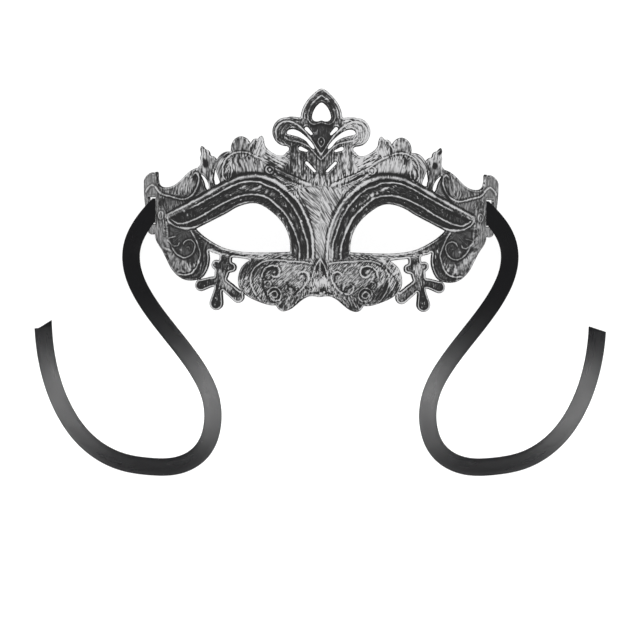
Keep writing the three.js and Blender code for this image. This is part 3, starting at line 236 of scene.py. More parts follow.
# How far the silver paint covers, with painted light in a few entries: side, centre,
# radii, tilt in degrees, cover from 0 (bare black) to 1.
PAINT_AND_LIGHT = [
    # the crest scroll (36, 131) gets far less cover on the picture left than on the right, so it is darker there
    (0, 0, 92, 8, 5, 0, 0.46), (0, 17, 112, 4, 12, 0, 0.54), (0, 11, 112, 3, 9, 0, 0.14), (-1, 36, 131, 13, 13, 0, 0.42), (1, 37, 129, 14, 14, 0, 0.93), (0, 0, 130, 12, 8, 0, 0.10), (0, 0, 142, 6, 8, 0, 0.22),
    (-1, 15, 140, 12, 9, 0, 0.26), (1, 15, 140, 12, 9, 0, 0.40), (-1, 12, 166, 14, 14, 0, 0.40), (-1, 34, 168, 4, 4, 0, 0.2), (1, 8, 166, 9, 14, 0, 0.36), (1, 26, 160, 10, 16, 0, 0.84), (-1, 25, 160, 7, 16, 0, 0.46),
    (-1, 27, 146, 6, 7, 0, 0.24), (-1, 12, 153, 8, 5, 0, 0.28), (1, 12, 153, 8, 5, 0, 0.42),
    (-1, 42, 160, 10, 6, -30, 0.90), (1, 42, 160, 12, 8, -30, 0.95), (-1, 60, 148, 8, 10, 0, 0.96), (1, 60, 148, 8, 10, 0, 0.94), (-1, 80, 146, 10, 10, 0, 0.66), (1, 80, 146, 10, 10, 0, 0.76), (0, 98, 166, 8, 16, 0, 0.74), (0, 103, 170, 3, 12, 0, 0.74),
    (-1, 72, 164, 20, 6, 0, 0.78), (1, 72, 164, 20, 6, 0, 0.94), (0, 70, 175.6, 24, 2.4, 0, 0.12), (0, 92, 184, 10, 4, 30, 0.15), (-1, 41, 178, 10, 3.4, -30, 0.60), (1, 41, 178, 10, 4, -30, 0.86),
    (-1, 16, 184, 14, 6, 0, 0.66), (-1, 23, 190, 5, 7, 35, 0.92), (1, 23, 190, 4, 7, 35, 0.9), (1, 16, 184, 14, 8, 0, 0.80), (0, 0, 205, 14, 22, 0, 0.80), (0, 0, 235, 10, 24, 0, 0.90), (0, 0, 262, 5, 12, 0, 0.66), (0, 0, 284, 12, 8, 0, 0.82),
    (-1, 114, 160, 6, 9, 0, 0.93), (1, 114, 160, 6, 9, 0, 0.84), (0, 110, 182, 4, 10, 0, 0.60),
    (-1, 138, 183, 14, 8, 25, 0.80), (1, 138, 183, 14, 8, 25, 0.70), (-1, 125, 180, 3.5, 6, 0, 0.44), (1, 126, 182, 4, 6, 0, 0.50), (0, 150, 192, 8, 3, 0, 0.50), (0, 121, 190, 5, 9, 0, 0.12),
    # the full cover at (168, 230), on the steep foot of the wing below the slot, is painted light: that face is turned
    # away from the lamps
    (-1, 140, 205, 10, 6, 20, 0.28), (1, 146, 202, 9, 5, 20, 0.60), (-1, 152, 205, 4, 8, 0, 0.42), (0, 159, 215, 4, 20, 0, 0.56), (0, 167, 188, 8, 14, 0, 0.54), (0, 173, 215, 5, 16, 0, 0.54), (0, 168, 230, 4, 5, 0, 1.00),
    (0, 132, 219, 16, 4, 29, 0.05), (0, 130, 252, 9, 12, 0, 0.07), (-1, 134, 268, 9, 5, -30, 0.50), (1, 132, 267, 8, 6, -30, 0.52), (0, 150, 258, 5, 18, 20, 0.58), (0, 159, 238, 5, 12, 0, 0.60),
    (0, 115, 262, 3.4, 14, 0, 0.16), (0, 124, 277.5, 8, 2.6, 0, 0.14), (1, 118, 262, 4, 10, 0, 0.32), (1, 140, 277, 8, 3, 0, 0.60),
    (0, 97, 252, 14, 3, 0, 0.76), (-1, 66, 256, 16, 3, 0, 0.92), (1, 66, 256, 16, 3, 0, 0.76), (0, 40, 256.4, 14, 3, 0, 0.56), (0, 118, 240, 6, 5, 0, 0.12),
    (-1, 95, 265, 8, 6, 0, 0.14), (1, 95, 265, 8, 6, 0, 0.36), (-1, 98, 276, 6, 6, 0, 0.30), (1, 98, 276, 6, 6, 0, 0.42), (0, 114, 285, 8, 4, 0, 0.16), (0, 103, 298, 4, 8, 0, 0.08), (0, 90, 290, 5, 6, 0, 0.36), (-1, 84, 294.6, 2.6, 2.6, 0, 0.1),
    (-1, 30, 273, 16, 10, 0, 0.76), (1, 34, 274, 22, 12, 0, 0.74), (-1, 62, 268, 9, 6, -40, 0.34), (-1, 70, 265, 8, 5, 30, 0.16), (-1, 77, 272, 4, 5, 0, 0.22), (-1, 75, 285, 4, 8, 0, 0.68), (-1, 62, 288, 6, 9, 0, 0.66), (-1, 45, 294, 8, 8, 0, 0.48), (-1, 48, 272, 6, 5, 0, 0.56),
    (-1, 32, 302, 9, 6, 0, 0.58), (1, 34, 304, 9, 6, 0, 0.44), (1, 62, 292, 9, 4, -35, 0.20), (1, 75, 275, 7, 12, 0, 0.88), (1, 45, 292, 9, 8, 0, 0.46), (0, 18, 290, 8, 6, 0, 0.62), (0, 10, 298, 8, 3, 0, 0.66),
]
# Silver on the shell's own edges, partly dry-brushed paint and partly a painted highlight along the rounded rim: side,
# centre, radii, strength.
EDGES = [
    (0, 0, 92, 10, 8, 0.9), (0, 19, 112, 6, 16, 0.9), (0, 7, 112, 5, 10, 0.1), (-1, 48, 130, 8, 16, 0.7), (1, 48, 130, 8, 16, 0.6), (0, 32, 150, 8, 10, 0.5), (0, 24, 136, 10, 10, 0.15), (0, 48, 152, 14, 8, 0.4), (0, 80, 138, 14, 6, 0.2),
    (0, 104, 160, 10, 12, 0.2), (0, 114, 155, 10, 14, 0.2), (0, 134, 174, 16, 8, 0.25), (0, 152, 188, 10, 6, 0.3), (0, 168, 178, 14, 14, 0.25), (0, 112, 262, 4, 22, 0.85), (0, 130, 280, 16, 4, 0.35), (0, 152, 264, 8, 16, 0.2),
    (0, 92, 257, 24, 3, 0.9), (0, 92, 250, 24, 3, 0.8), (0, 79, 282, 4, 14, 0.5), (0, 36, 308, 12, 6, 0.45), (0, 8, 296, 14, 4, 0.3), (0, 30, 246, 4, 8, 0.5), (0, 50, 205, 16, 8, 0.05), (0, 12, 130, 4, 4, 0.3), (0, 18, 149, 5, 3, 0.2), (0, 10, 167, 6, 5, 0.2),
]
# Where the paint lies calm, without strong brush marks: side, centre, radii, amount.
CALM = [
    (0, 142, 184, 20, 11, 0.9), (0, 102.4, 170, 5, 14, 0.8), (0, 170, 196, 9, 26, 0.5), (0, 158, 218, 6, 24, 0.45), (-1, 112, 166, 8, 14, 0.75), (1, 112, 166, 8, 14, 0.85), (-1, 146, 264, 14, 18, 0.78), (1, 146, 264, 14, 18, 0.65),
    (1, 39, 130, 13, 13, 0.75), (1, 28, 160, 10, 14, 0.6), (-1, 71, 166, 22, 9, 0.78), (1, 72, 166, 22, 9, 0.95), (0, 62, 148, 8, 9, 0.35), (0, 82, 146, 8, 9, 0.3), (1, 44, 160, 10, 6, 0.35),
    (-1, 31, 274, 15, 12, 0.8), (1, 32, 276, 20, 13, 0.75), (-1, 48, 284, 10, 10, 0.4), (0, 158, 243, 7, 20, 0.75), (0, 0, 236, 15, 30, 0.92), (0, 0, 200, 24, 16, 0.8), (0, 62, 147, 8, 10, 0.68), (0, 81, 147, 10, 11, 0.78), (0, 0, 256, 12, 12, 0.75), (0, 62, 256, 16, 3, 0.3),
]
# in temple_field and lower_field the calm keeps the painted sheen even
CALM_FIELDS = {"temple_field": 0.8, "lower_field": 0.85, "slot_patch": 0.5, "lower_foot": 0.4}
# Direction of the brush: side, centre, radii, then ("to", heading in degrees) or
# ("from", centre of the fan) or ("round", centre), and how short the strokes are.
BRUSH = [
    (0, 0, 165, 30, 22, ("to", 90)), (0, 0, 130, 18, 12, ("to", 90)), (0, 0, 105, 18, 14, ("round", (0, 114), 1.8)), (0, 36, 131, 12, 13, ("round", (27, 134), 1.5)),
    (0, 46, 158, 14, 9, ("to", 150)), (0, 62, 147, 9, 11, ("to", 70)), (0, 80, 147, 10, 11, ("from", (78, 175), 0.9)), (0, 99, 166, 8, 15, ("round", (80, 178))), (0, 74, 167, 18, 9, ("to", 100, 0.9)),
    (0, 42, 179, 12, 5, ("to", 150)), (-1, 0, 205, 22, 20, ("to", 138, 0.6)), (1, 0, 205, 22, 20, ("to", 60, 0.65)), (-1, 0, 242, 14, 20, ("to", 122, 0.65)), (1, 0, 242, 14, 20, ("to", 72, 0.6)),
    (0, 113, 165, 8, 20, ("to", 96)), (0, 138, 184, 16, 10, ("to", 80)), (0, 140, 204, 14, 8, ("to", 100)), (0, 160, 215, 6, 22, ("to", 92)), (0, 170, 200, 8, 28, ("to", 90)),
    (0, 100, 200, 45, 7, ("to", 30, 1.6)), (0, 60, 188, 30, 8, ("to", 20, 1.6)), (0, 24, 225, 12, 30, ("to", 108, 1.5)), (0, 134, 256, 16, 16, ("from", (136, 232))), (0, 154, 250, 6, 22, ("from", (170, 225))), (0, 115, 262, 5, 16, ("to", 80)),
    (0, 90, 254, 30, 4, ("to", 8, 1.6)), (0, 45, 256, 20, 4, ("to", 20, 1.6)), (-1, 34, 276, 24, 14, ("to", 42, 2.0)), (1, 34, 276, 24, 14, ("to", -44, 1.8)), (-1, 70, 282, 12, 18, ("to", 62, 1.5)), (1, 70, 282, 12, 18, ("to", -58, 1.3)), (0, 34, 303, 10, 8, ("to", 70, 1.8)), (0, 8, 282, 12, 12, ("to", 90, 2.2)),
    (0, 98, 280, 20, 22, ("to", 90, 1.6)),
]


# -------------------------------------------------------- curvature of the shell
def smooth(t):
    t = np.clip(t, 0.0, 1.0)
    return t * t * (3 - 2 * t)


def walk_section():
    step, rows = 0.25, [(0.0, 0.0, 0.0)]
    u = 0.0
    while rows[-1][1] < HALF_WIDTH + 1.6:
        mid = u + step / 2
        turn = math.radians(FOREHEAD_TURN * min(1.0, mid / BEND_START) ** FOREHEAD_POWER + (SIDE_TURN - FOREHEAD_TURN) * float(smooth((mid - BEND_START) / BEND_LENGTH)))
        rows.append((u + step, rows[-1][1] + step * math.cos(turn), rows[-1][2] + step * math.sin(turn)))
        u += step
    return np.array(rows).T


SEC_U, SEC_X, SEC_FALL = walk_section()
ARCH_DEPTH = float(np.interp(HALF_WIDTH, SEC_X, SEC_FALL))
WING_TOP, WING_TAPER = (DATUM - 194) * UNIT, 0.13


def squeeze(v):
    d = WING_TOP - v
    edge = HALF_WIDTH - WING_TAPER * np.minimum(24, (d + np.hypot(d, 3)) / 2)
    return (edge - EDGE_BLEND) / (HALF_WIDTH - EDGE_BLEND)


def girth(x, v):
    a = np.abs(x)
    plain = np.where(a < EDGE_BLEND, a, EDGE_BLEND + (a - EDGE_BLEND) / squeeze(v))
    return np.sign(x) * np.interp(plain, SEC_X, SEC_U)


def skin(u, v):
    a = np.abs(u)
    plain = np.interp(a, SEC_U, SEC_X)
    x = np.where(plain < EDGE_BLEND, plain, EDGE_BLEND + (plain - EDGE_BLEND) * squeeze(v))
    inner = 1 - smooth((a - 58) / 22)
    over, under = np.maximum(0, v - 56), np.maximum(0, 24 - v)
    ridge = NOSE_RISE * np.clip((NOSE_TOP - v) / (NOSE_TOP - 10), 0, 1) ** 1.25
    nose = ridge * np.exp(-((x / (NOSE_HALF + 0.05 * (NOSE_TOP - v))) ** 2))
    socket = SOCKET_DIP * np.exp(-(((x - 37) / 21) ** 2) - ((v - 41) / 15) ** 2)
    z = ARCH_DEPTH - np.interp(a, SEC_U, SEC_FALL) + nose - inner * (CREST_LEAN * over * over + CHIN_LEAN * under * under) - inner * socket
    return np.stack([np.sign(u) * x, v + 0 * x, z], -1)


def outward(u, v, h=0.35):
    du = skin(u + h, v) - skin(u - h, v)
    dv = skin(u, v + h) - skin(u, v - h)
    n = np.cross(du, dv)
    return n / np.linalg.norm(n, axis=-1, keepdims=True)


def bend(u, v, w):
    return skin(u, v) + outward(u, v) * np.asarray(w)[..., None]


def to_row(p):
    """Raw millimetres to the row frame in metres."""
    q = np.array(p, float)
    q[..., 1] += Y_SHIFT
    return q / 1000.0


# ------------------------------------------------------------------ plan curves
def catmull(points, closed, n):
    P = np.array(points, float)
    count, out = len(P), []
    for i in range(count if closed else count - 1):
        p1, p2 = P[i], P[(i + 1) % count]
        p0 = P[(i - 1) % count] if closed or i > 0 else 2 * p1 - p2
        p3 = P[(i + 2) % count] if closed or i < count - 2 else 2 * p2 - p1
        t0 = 0.0
        t1 = t0 + max(np.hypot(*(p1 - p0)), 1e-6) ** 0.5
        t2 = t1 + max(np.hypot(*(p2 - p1)), 1e-6) ** 0.5
        t3 = t2 + max(np.hypot(*(p3 - p2)), 1e-6) ** 0.5
        t = np.linspace(t1, t2, n, endpoint=False)[:, None]
        a1 = (t1 - t) / (t1 - t0) * p0 + (t - t0) / (t1 - t0) * p1
        a2 = (t2 - t) / (t2 - t1) * p1 + (t - t1) / (t2 - t1) * p2
        a3 = (t3 - t) / (t3 - t2) * p2 + (t - t2) / (t3 - t2) * p3
        b1 = (t2 - t) / (t2 - t0) * a1 + (t - t0) / (t2 - t0) * a2
        b2 = (t3 - t) / (t3 - t1) * a2 + (t - t1) / (t3 - t1) * a3
        out.append((t2 - t) / (t2 - t1) * b1 + (t - t1) / (t2 - t1) * b2)
    if not closed:
        out.append(P[-1:])
    return np.concatenate(out)


def arc(cx, cy, rx, ry, start, end, n):
    t = np.linspace(start, end, n)
    return np.stack([cx + rx * np.cos(t), cy + ry * np.sin(t)], 1)


def loops_of(shape):
    kind = shape[0]
    if kind == "blob":
        return [catmull(shape[1], True, 7)]
    if kind == "face":
        P = np.array(shape[1], float)
        return [np.concatenate([P[i] + (P[(i + 1) % len(P)] - P[i]) * np.linspace(0, 1, 5, endpoint=False)[:, None] for i in range(len(P))])]
    if kind == "leaf":
        return [np.concatenate([catmull(run, False, 7)[:-1] for run in shape[1:]])]
    if kind == "oval":
        cx, cy, rx, ry = shape[1]
        return [arc(cx, cy, rx, ry, 0, 2 * math.pi, 49)[:-1]]
    out = []
    for (x0, y0, r0), (x1, y1, r1) in zip(shape[1][:-1], shape[1][1:]):
        lead, opening = math.atan2(y1 - y0, x1 - x0), math.acos((r0 - r1) / math.hypot(x1 - x0, y1 - y0))
        out.append(np.concatenate([arc(x0, y0, r0, r0, lead + opening, lead + 2 * math.pi - opening, 14), arc(x1, y1, r1, r1, lead - opening, lead + opening, 14)]))
    return out


def flat(points):
    """Drawing units to the flat working plane (girth, height), in mm."""
    P = np.atleast_2d(np.array(points, float))
    y = (DATUM - P[:, 1]) * UNIT
    return np.stack([girth(P[:, 0] * UNIT, y), y], 1)


def seen(points):
    """Drawing units to millimetres as seen from the front."""
    P = np.atleast_2d(np.array(points, float))
    return np.stack([P[:, 0] * UNIT, (DATUM - P[:, 1]) * UNIT], 1)


def seen_from_flat(P):
    plain = np.interp(np.abs(P[:, 0]), SEC_U, SEC_X)
    x = np.where(plain < EDGE_BLEND, plain, EDGE_BLEND + (plain - EDGE_BLEND) * squeeze(P[:, 1]))
    return np.stack([np.sign(P[:, 0]) * x, P[:, 1]], 1)


def segment_distance(P, line, closed=False):
    """Distance of each point to a run, and how far along it (0..1) the nearest place lies."""
    A = line if closed else line[:-1]
    B = np.roll(line, -1, 0) if closed else line[1:]
    best, along = np.full(len(P), 1e9), np.zeros(len(P))
    lengths = np.hypot(*(B - A).T)
    start = np.r_[0, np.cumsum(lengths)]
    for a, b, s, ln in zip(A, B, start, lengths):
        d = b - a
        t = np.clip(((P - a) @ d) / max(d @ d, 1e-12), 0, 1)
        q = np.hypot(*(P - a - t[:, None] * d).T)
        near = q < best
        best[near] = q[near]
        along[near] = ((s + t * ln) / start[-1])[near]
    return best, along


def inside(P, poly):
    A, B = poly, np.roll(poly, -1, 0)
    odd = np.zeros(len(P), bool)
    for (x0, y0), (x1, y1) in zip(A, B):
        if y0 == y1:
            continue
        cross = (P[:, 1] < y0) != (P[:, 1] < y1)
        odd ^= cross & (P[:, 0] < x0 + (P[:, 1] - y0) * (x1 - x0) / (y1 - y0))
    return odd


def signed(P, poly, margin):
    """Signed distance, positive inside, only near the run's box."""
    out = np.full(len(P), -margin, float)
    near = np.all((P > poly.min(0) - margin) & (P < poly.max(0) + margin), 1)
    Q = P[near]
    d, _ = segment_distance(Q, poly, True)
    out[near] = np.where(inside(Q, poly), d, np.maximum(-d, -margin))
    return out


# ------------------------------------------------------------- outline of the shell
def outline_field():
    step = 0.3
    us = np.arange(0, SEC_U[-1] - 0.6, step)
    vs = np.arange(-1.8, (DATUM - 84.5) * UNIT, step)
    U, V = np.meshgrid(us, vs, indexing="ij")
    P = np.stack([U.ravel(), V.ravel()], 1)
    F = np.full(len(P), -3.0)
    blend = 0.35
    for shape in SHAPES.values():
        for loop in loops_of(shape):
            d = signed(P, flat(loop), 3.0)
            h = np.maximum(blend - np.abs(F - d), 0) / blend
            F = np.maximum(F, d) + h * h * blend / 4
    for hole in HOLES.values():
        for loop in loops_of(hole):
            F = np.minimum(F, -signed(P, flat(loop), 3.0))
    F = np.minimum(F, skin(P[:, 0], P[:, 1])[:, 2] * 1.05)
    F = F.reshape(U.shape)
    return np.concatenate([-us[:0:-1], us]), vs, np.concatenate([F[:0:-1], F])


def trace(us, vs, F):
    """Closed zero lines of a field on a grid, running either way round."""
    S = F > 0
    mixed = (S[:-1, :-1] != S[1:, :-1]) | (S[:-1, :-1] != S[1:, 1:]) | (S[:-1, :-1] != S[:-1, 1:])
    links = {}
    for i, j in zip(*np.nonzero(mixed)):
        i, j = int(i), int(j)
        a, b, c, d = S[i, j], S[i + 1, j], S[i + 1, j + 1], S[i, j + 1]
        e = []
        if a != b:
            e.append((0, i, j))
        if b != c:
            e.append((1, i + 1, j))
        if c != d:
            e.append((0, i, j + 1))
        if d != a:
            e.append((1, i, j))
        if len(e) == 2:
            pairs = [(e[0], e[1])]
        else:
            middle = F[i : i + 2, j : j + 2].mean() > 0
            pairs = [(e[0], e[1]), (e[2], e[3])] if middle == a else [(e[3], e[0]), (e[1], e[2])]
        for p, q in pairs:
            links.setdefault(p, []).append(q)
            links.setdefault(q, []).append(p)

    def place(key):
        kind, i, j = key
        k, m = (i + 1, j) if kind == 0 else (i, j + 1)
        t = F[i, j] / (F[i, j] - F[k, m])
        return (us[i] + t * (us[k] - us[i]), vs[j] + t * (vs[m] - vs[j]))

    used, out = set(), []
    for first in links:
        if first in used:
            continue
        run, here, before = [first], first, None
        used.add(first)
        while True:
            following = [k for k in links[here] if k != before and (k not in used or k == first)]
            following = [k for k in following if k != first] or following
            if not following or following[0] == first:
                break
            before, here = here, following[0]
            used.add(here)
            run.append(here)
        out.append(np.array([place(k) for k in run]))
    return out


def evenly(loop, step):
    d = np.hypot(*(np.roll(loop, -1, 0) - loop).T)
    s = np.r_[0, np.cumsum(d)]
    n = max(6, int(round(s[-1] / step)))
    t = np.linspace(0, s[-1], n, endpoint=False)
    closed = np.vstack([loop, loop[:1]])
    return np.stack([np.interp(t, s, closed[:, 0]), np.interp(t, s, closed[:, 1])], 1)


us, vs, FIELD = outline_field()


def field_at(P):
    i = np.clip((P[:, 0] - us[0]) / (us[1] - us[0]), 0, len(us) - 1.001)
    j = np.clip((P[:, 1] - vs[0]) / (vs[1] - vs[0]), 0, len(vs) - 1.001)
    a, b = i.astype(int), j.astype(int)
    f, g = i - a, j - b
    return (FIELD[a, b] * (1 - f) + FIELD[a + 1, b] * f) * (1 - g) + (FIELD[a, b + 1] * (1 - f) + FIELD[a + 1, b + 1] * f) * g


rims = []
for loop in trace(us, vs, FIELD):
    for _ in range(2):
        loop = 0.25 * np.roll(loop, 1, 0) + 0.5 * loop + 0.25 * np.roll(loop, -1, 0)
    if np.hypot(*(np.roll(loop, -1, 0) - loop).T).sum() < 1.6:
        continue
    loop = evenly(loop, CELL)
    ahead = np.roll(loop, -1, 0) - np.roll(loop, 1, 0)
    left = np.stack([-ahead[:, 1], ahead[:, 0]], 1) / np.hypot(*ahead.T)[:, None]
    if np.mean(field_at(loop + 0.15 * left) > 0) < 0.5:
        loop, left = loop[::-1], -left[::-1]
    rims.append((loop, left))
dense = np.concatenate([evenly(loop, 0.1) for loop, _ in rims])
tree = kdtree.KDTree(len(dense))
for i, (x, y) in enumerate(dense):
    tree.insert((x, y, 0), i)
tree.balance()


def to_rim(P, cap=4.0):
    """True distance to the nearest edge of the shell, up to a cap."""
    out = np.full(len(P), cap)
    for i in np.nonzero(field_at(P) < cap + 0.4)[0]:
        out[i] = min(cap, tree.find((P[i, 0], P[i, 1], 0))[2])
    return out


def hexagons(cell):
    rows = np.arange(vs[0], vs[-1], cell * math.sqrt(3) / 2)
    half = np.arange(0, us[-1], cell)
    out = []
    for k, v in enumerate(rows):
        shift = cell / 2 if k % 2 else 0
        right = half + shift
        left = -(half[1:] if k % 2 == 0 else half) - shift
        out.append(np.stack([np.r_[left, right], np.full(len(left) + len(right), v)], 1))
    P = np.concatenate(out)
    return P[field_at(P) > 0.05]


def triangulate(extra):
    """All rim points first, then the extra ones, joined by triangles inside the outline."""
    ring = np.concatenate([loop for loop, _ in rims])
    P = np.concatenate([ring, extra])
    edges, base = [], 0
    for loop, _ in rims:
        n = len(loop)
        edges += [(base + i, base + (i + 1) % n) for i in range(n)]
        base += n
    result = delaunay_2d_cdt([Vector(p) for p in P], edges, [], 0, 1e-5, True)
    if len(result[0]) != len(P):
        raise RuntimeError(f"outline crosses itself: {len(P)} points became {len(result[0])}")
    order = np.array([ids[0] for ids in result[3]])
    T = order[np.array(result[2])]
    on_rim = (T < len(ring)).all(1)
    keep = ~on_rim
    centre = P[T[on_rim]].mean(1)
    odd = np.zeros(len(centre), bool)
    for loop, _ in rims:
        odd ^= inside(centre, loop)
    keep[np.nonzero(on_rim)[0][odd]] = True
    T = T[keep]
    a, b, c = P[T[:, 0]], P[T[:, 1]], P[T[:, 2]]
    turn = (b[:, 0] - a[:, 0]) * (c[:, 1] - a[:, 1]) - (b[:, 1] - a[:, 1]) * (c[:, 0] - a[:, 0])
    T[turn < 0] = T[turn < 0][:, ::-1]
    return P, T


# ------------------------------------------------------------------------ relief
def noise2(P, scale, seed, octaves=3):
    """Smooth value noise on the flat plane, from 0 to 1."""
    total, weight, out = 0.0, 0.0, 0.0
    for k in range(octaves):
        table = np.random.default_rng(seed + 31 * k).random((256, 256))
        q = P / (scale / 2**k) + 100.0
        i = np.floor(q).astype(int)
        f = q - i
        f = f * f * (3 - 2 * f)
        i0, j0 = i[:, 0] % 256, i[:, 1] % 256
        i1, j1 = (i0 + 1) % 256, (j0 + 1) % 256
        out = out + 0.5**k * ((table[i0, j0] * (1 - f[:, 0]) + table[i1, j0] * f[:, 0]) * (1 - f[:, 1]) + (table[i0, j1] * (1 - f[:, 0]) + table[i1, j1] * f[:, 0]) * f[:, 1])
        weight += 0.5**k
    return out / weight


def side_of(P):
    return np.where(P[:, 0] < 0, -1, 1)


def fold_over(P):
    H = P.copy()
    H[:, 0] = np.abs(H[:, 0])
    return H


def line_runs(place):
    """Every raised line: run, half width, height, silver, open or closed."""
    for half, height, left, right, run in LINES.values():
        yield place(catmull(run, False, 6)), half * UNIT, height, left, right, False
    for cx, cy, rx, ry, half, height, silver in RINGS:
        yield place(arc(cx, cy, rx, ry, 0, 2 * math.pi, 33)), half * UNIT, height, silver, silver, True


def membership(H, names, margin=2.0):
    out = np.full(len(H), -margin)
    for name in names:
        for loop in loops_of(SHAPES[name]):
            out = np.maximum(out, signed(H, flat(loop), margin))
    return out


def relief(P, rim):
    """Height over the skin, height of the lines, silver on them, dark beside them, and painted shade at the rim, in
    cuts and in pits.
    """
    side, H = side_of(P), fold_over(P)
    ground, lines, ink_and_shading, halo = (np.zeros(len(P)) for _ in range(4))
    for depth, slope, left, right, run in FIELDS.values():
        d = signed(H, flat(catmull(run, True, 4)), 2.0)
        ground -= depth * smooth((d + slope * 0.35) / slope)
    for (cx, cy, rx, ry), rise in DOMES:
        (cu, cv), (eu, _) = flat([(cx, cy)])[0], flat([(cx + rx, cy)])[0]
        r2 = ((H[:, 0] - cu) / (eu - cu)) ** 2 + ((H[:, 1] - cv) / (ry * UNIT)) ** 2
        ground += rise * np.clip(1 - r2, 0, 1) ** 0.8
    wobble, patchy, glint = noise2(P, 1.6, 3) - 0.5, noise2(P, 1.0, 41, 2), noise2(P, 2.4, 71)
    H = H + 0.42 * np.stack([noise2(P, 1.1, 51, 2) - 0.5, noise2(P, 1.1, 61, 2) - 0.5], 1)
    Q = seen_from_flat(H)
    for line, half, height, left, right, closed in line_runs(seen):
        margin = half * 1.5 + 1.4
        near = np.all((Q > line.min(0) - margin) & (Q < line.max(0) + margin), 1)
        d, t = segment_distance(Q[near], line)
        length = np.hypot(*np.diff(line, axis=0).T).sum()
        taper = 1.0 if closed else smooth(np.minimum(t, 1 - t) * length / 0.9 + 0.45)
        wide = half * (1 + 1.1 * wobble[near])
        body = np.clip(1 - (d / (wide * 1.25)) ** 2, 0, 1)
        lines[near] = np.maximum(lines[near], height * taper * body**1.3)
        silver = np.where(side[near] < 0, left, right) * (0.58 + 0.9 * glint[near])
        ink_and_shading[near] = np.maximum(ink_and_shading[near], silver * taper * np.exp(-((d / (wide * 0.95)) ** 2) * 1.1))
        halo[near] = np.maximum(halo[near], np.exp(-(((d - half * 1.7) / 0.38) ** 2)) * taper * height / 0.7)
    for which, half, depth, dark, run in CUTS:
        line = seen(catmull(run, False, 5))
        near = np.all((Q > line.min(0) - 1.6) & (Q < line.max(0) + 1.6), 1)
        d, t = segment_distance(Q[near], line)
        length = np.hypot(*np.diff(line, axis=0).T).sum()
        w = smooth(np.minimum(t, 1 - t) * length / 1.2 + 0.3) * np.exp(-((d / (half * UNIT * (1 + 0.8 * wobble[near]))) ** 2))
        if which:
            w = np.where(side[near] == which, w, 0)
        # cut lines sink and darken the surface; the darkness is partly painted shade in the groove
        ground[near] -= depth * w
        ink_and_shading[near] -= dark * w
    for which, cx, cy, rx, ry, tilt, rise, silver in MARKS:
        cu, cv = seen([(cx, cy)])[0]
        c, s = math.cos(math.radians(tilt)), math.sin(math.radians(tilt))
        x, y = (Q[:, 0] - cu) / UNIT, -(Q[:, 1] - cv) / UNIT
        w = np.exp(-((((x * c + y * s) / rx) ** 2 + ((-x * s + y * c) / ry) ** 2) ** 1.4))
        if which:
            w = np.where(side == which, w, 0)
        # positive marks add silver; negative ones darken, in sunk marks partly as painted shade in the pit
        ground += rise * w
        ink_and_shading += silver * w * (0.6 + 0.8 * patchy)
    # the pendants carry a raised bead all round
    pend = smooth((membership(H, [n for n in SHAPES if n.startswith("pendant")]) + 0.3) / 0.5) * smooth((flat([(0, 256.5)])[0][1] - H[:, 1]) / 0.9)
    edge_bead = np.exp(-(((rim - 0.5) / 0.42) ** 2))
    lines = np.maximum(lines, edge_bead * (0.12 + 0.4 * pend))
    # edge silver: partly paint caught by the brush, partly a painted highlight along the rounded rim
    shine, total = np.full(len(P), 0.12 * 0.02), np.full(len(P), 0.02)
    for which, cx, cy, rx, ry, silver in EDGES:
        cu, cv = flat([(cx, cy)])[0]
        w = np.exp(-(((H[:, 0] - cu) / (rx * UNIT)) ** 2 + ((H[:, 1] - cv) / (ry * UNIT)) ** 2))
        shine += w * silver
        total += w
    shine = shine / total * (1 - pend) + 0.85 * pend
    lit = shine * (0.7 + 0.6 * patchy + 0.2 * pend) * np.exp(-(((rim - 0.55 - 0.08 * pend) / (0.32 + 0.06 * pend)) ** 2))
    ink_and_shading = np.where(lit > 0.08, np.maximum(ink_and_shading, lit), ink_and_shading)
    # painted shade: the outermost strip of the rim is darkened as if the edge turning down into the wall lay in shadow
    ink_and_shading -= (0.75 + 0.35 * pend) * smooth(1.35 - rim / (0.26 + 0.1 * pend))
    halo = np.maximum(halo, (0.15 + 0.6 * shine) * np.exp(-(((rim - 1.3) / 0.35) ** 2)))
    ground += 0.07 * (noise2(P, 3.2, 11) - 0.5) + 0.06 * (noise2(P, 1.0, 12) - 0.5)
    return ground, lines, ink_and_shading, halo, pend


def painted(P):
    """Cover of silver paint at flat points, with painted sheen and painted light in a few places."""
    side, H = side_of(P), fold_over(P)
    top, bottom = np.full(len(P), 0.45 * 0.004), np.full(len(P), 0.004)
    for which, cx, cy, rx, ry, tilt, cover_and_light in PAINT_AND_LIGHT:
        cu, cv = flat([(cx, cy)])[0]
        stretch = max(1.0, float(flat([(cx + 1, cy)])[0][0] - cu) / UNIT)
        c, s = math.cos(math.radians(tilt)), math.sin(math.radians(tilt))
        x, y = (H[:, 0] - cu) / stretch / UNIT, -(H[:, 1] - cv) / UNIT
        a, b = (x * c + y * s) / rx, (-x * s + y * c) / ry
        w = np.exp(-1.6 * (a * a + b * b)) / math.sqrt(rx * ry)
        if which:
            w = np.where(side == which, w, 0)
        top += w * cover_and_light
        bottom += w
    cover_and_light = top / bottom
    pend = smooth((membership(H, [n for n in SHAPES if n.startswith("pendant")]) + 0.2) / 0.4) * smooth((flat([(0, 256.5)])[0][1] - H[:, 1]) / 0.9)
    for depth, slope, left, right, run in FIELDS.values():
        if left is not None:
            w = smooth((signed(H, flat(catmull(run, True, 4)), 2.0) + 0.25) / 0.6) * (1 - pend)
            cover_and_light = cover_and_light * (1 - w) + w * np.where(side < 0, left, right)
    return cover_and_light


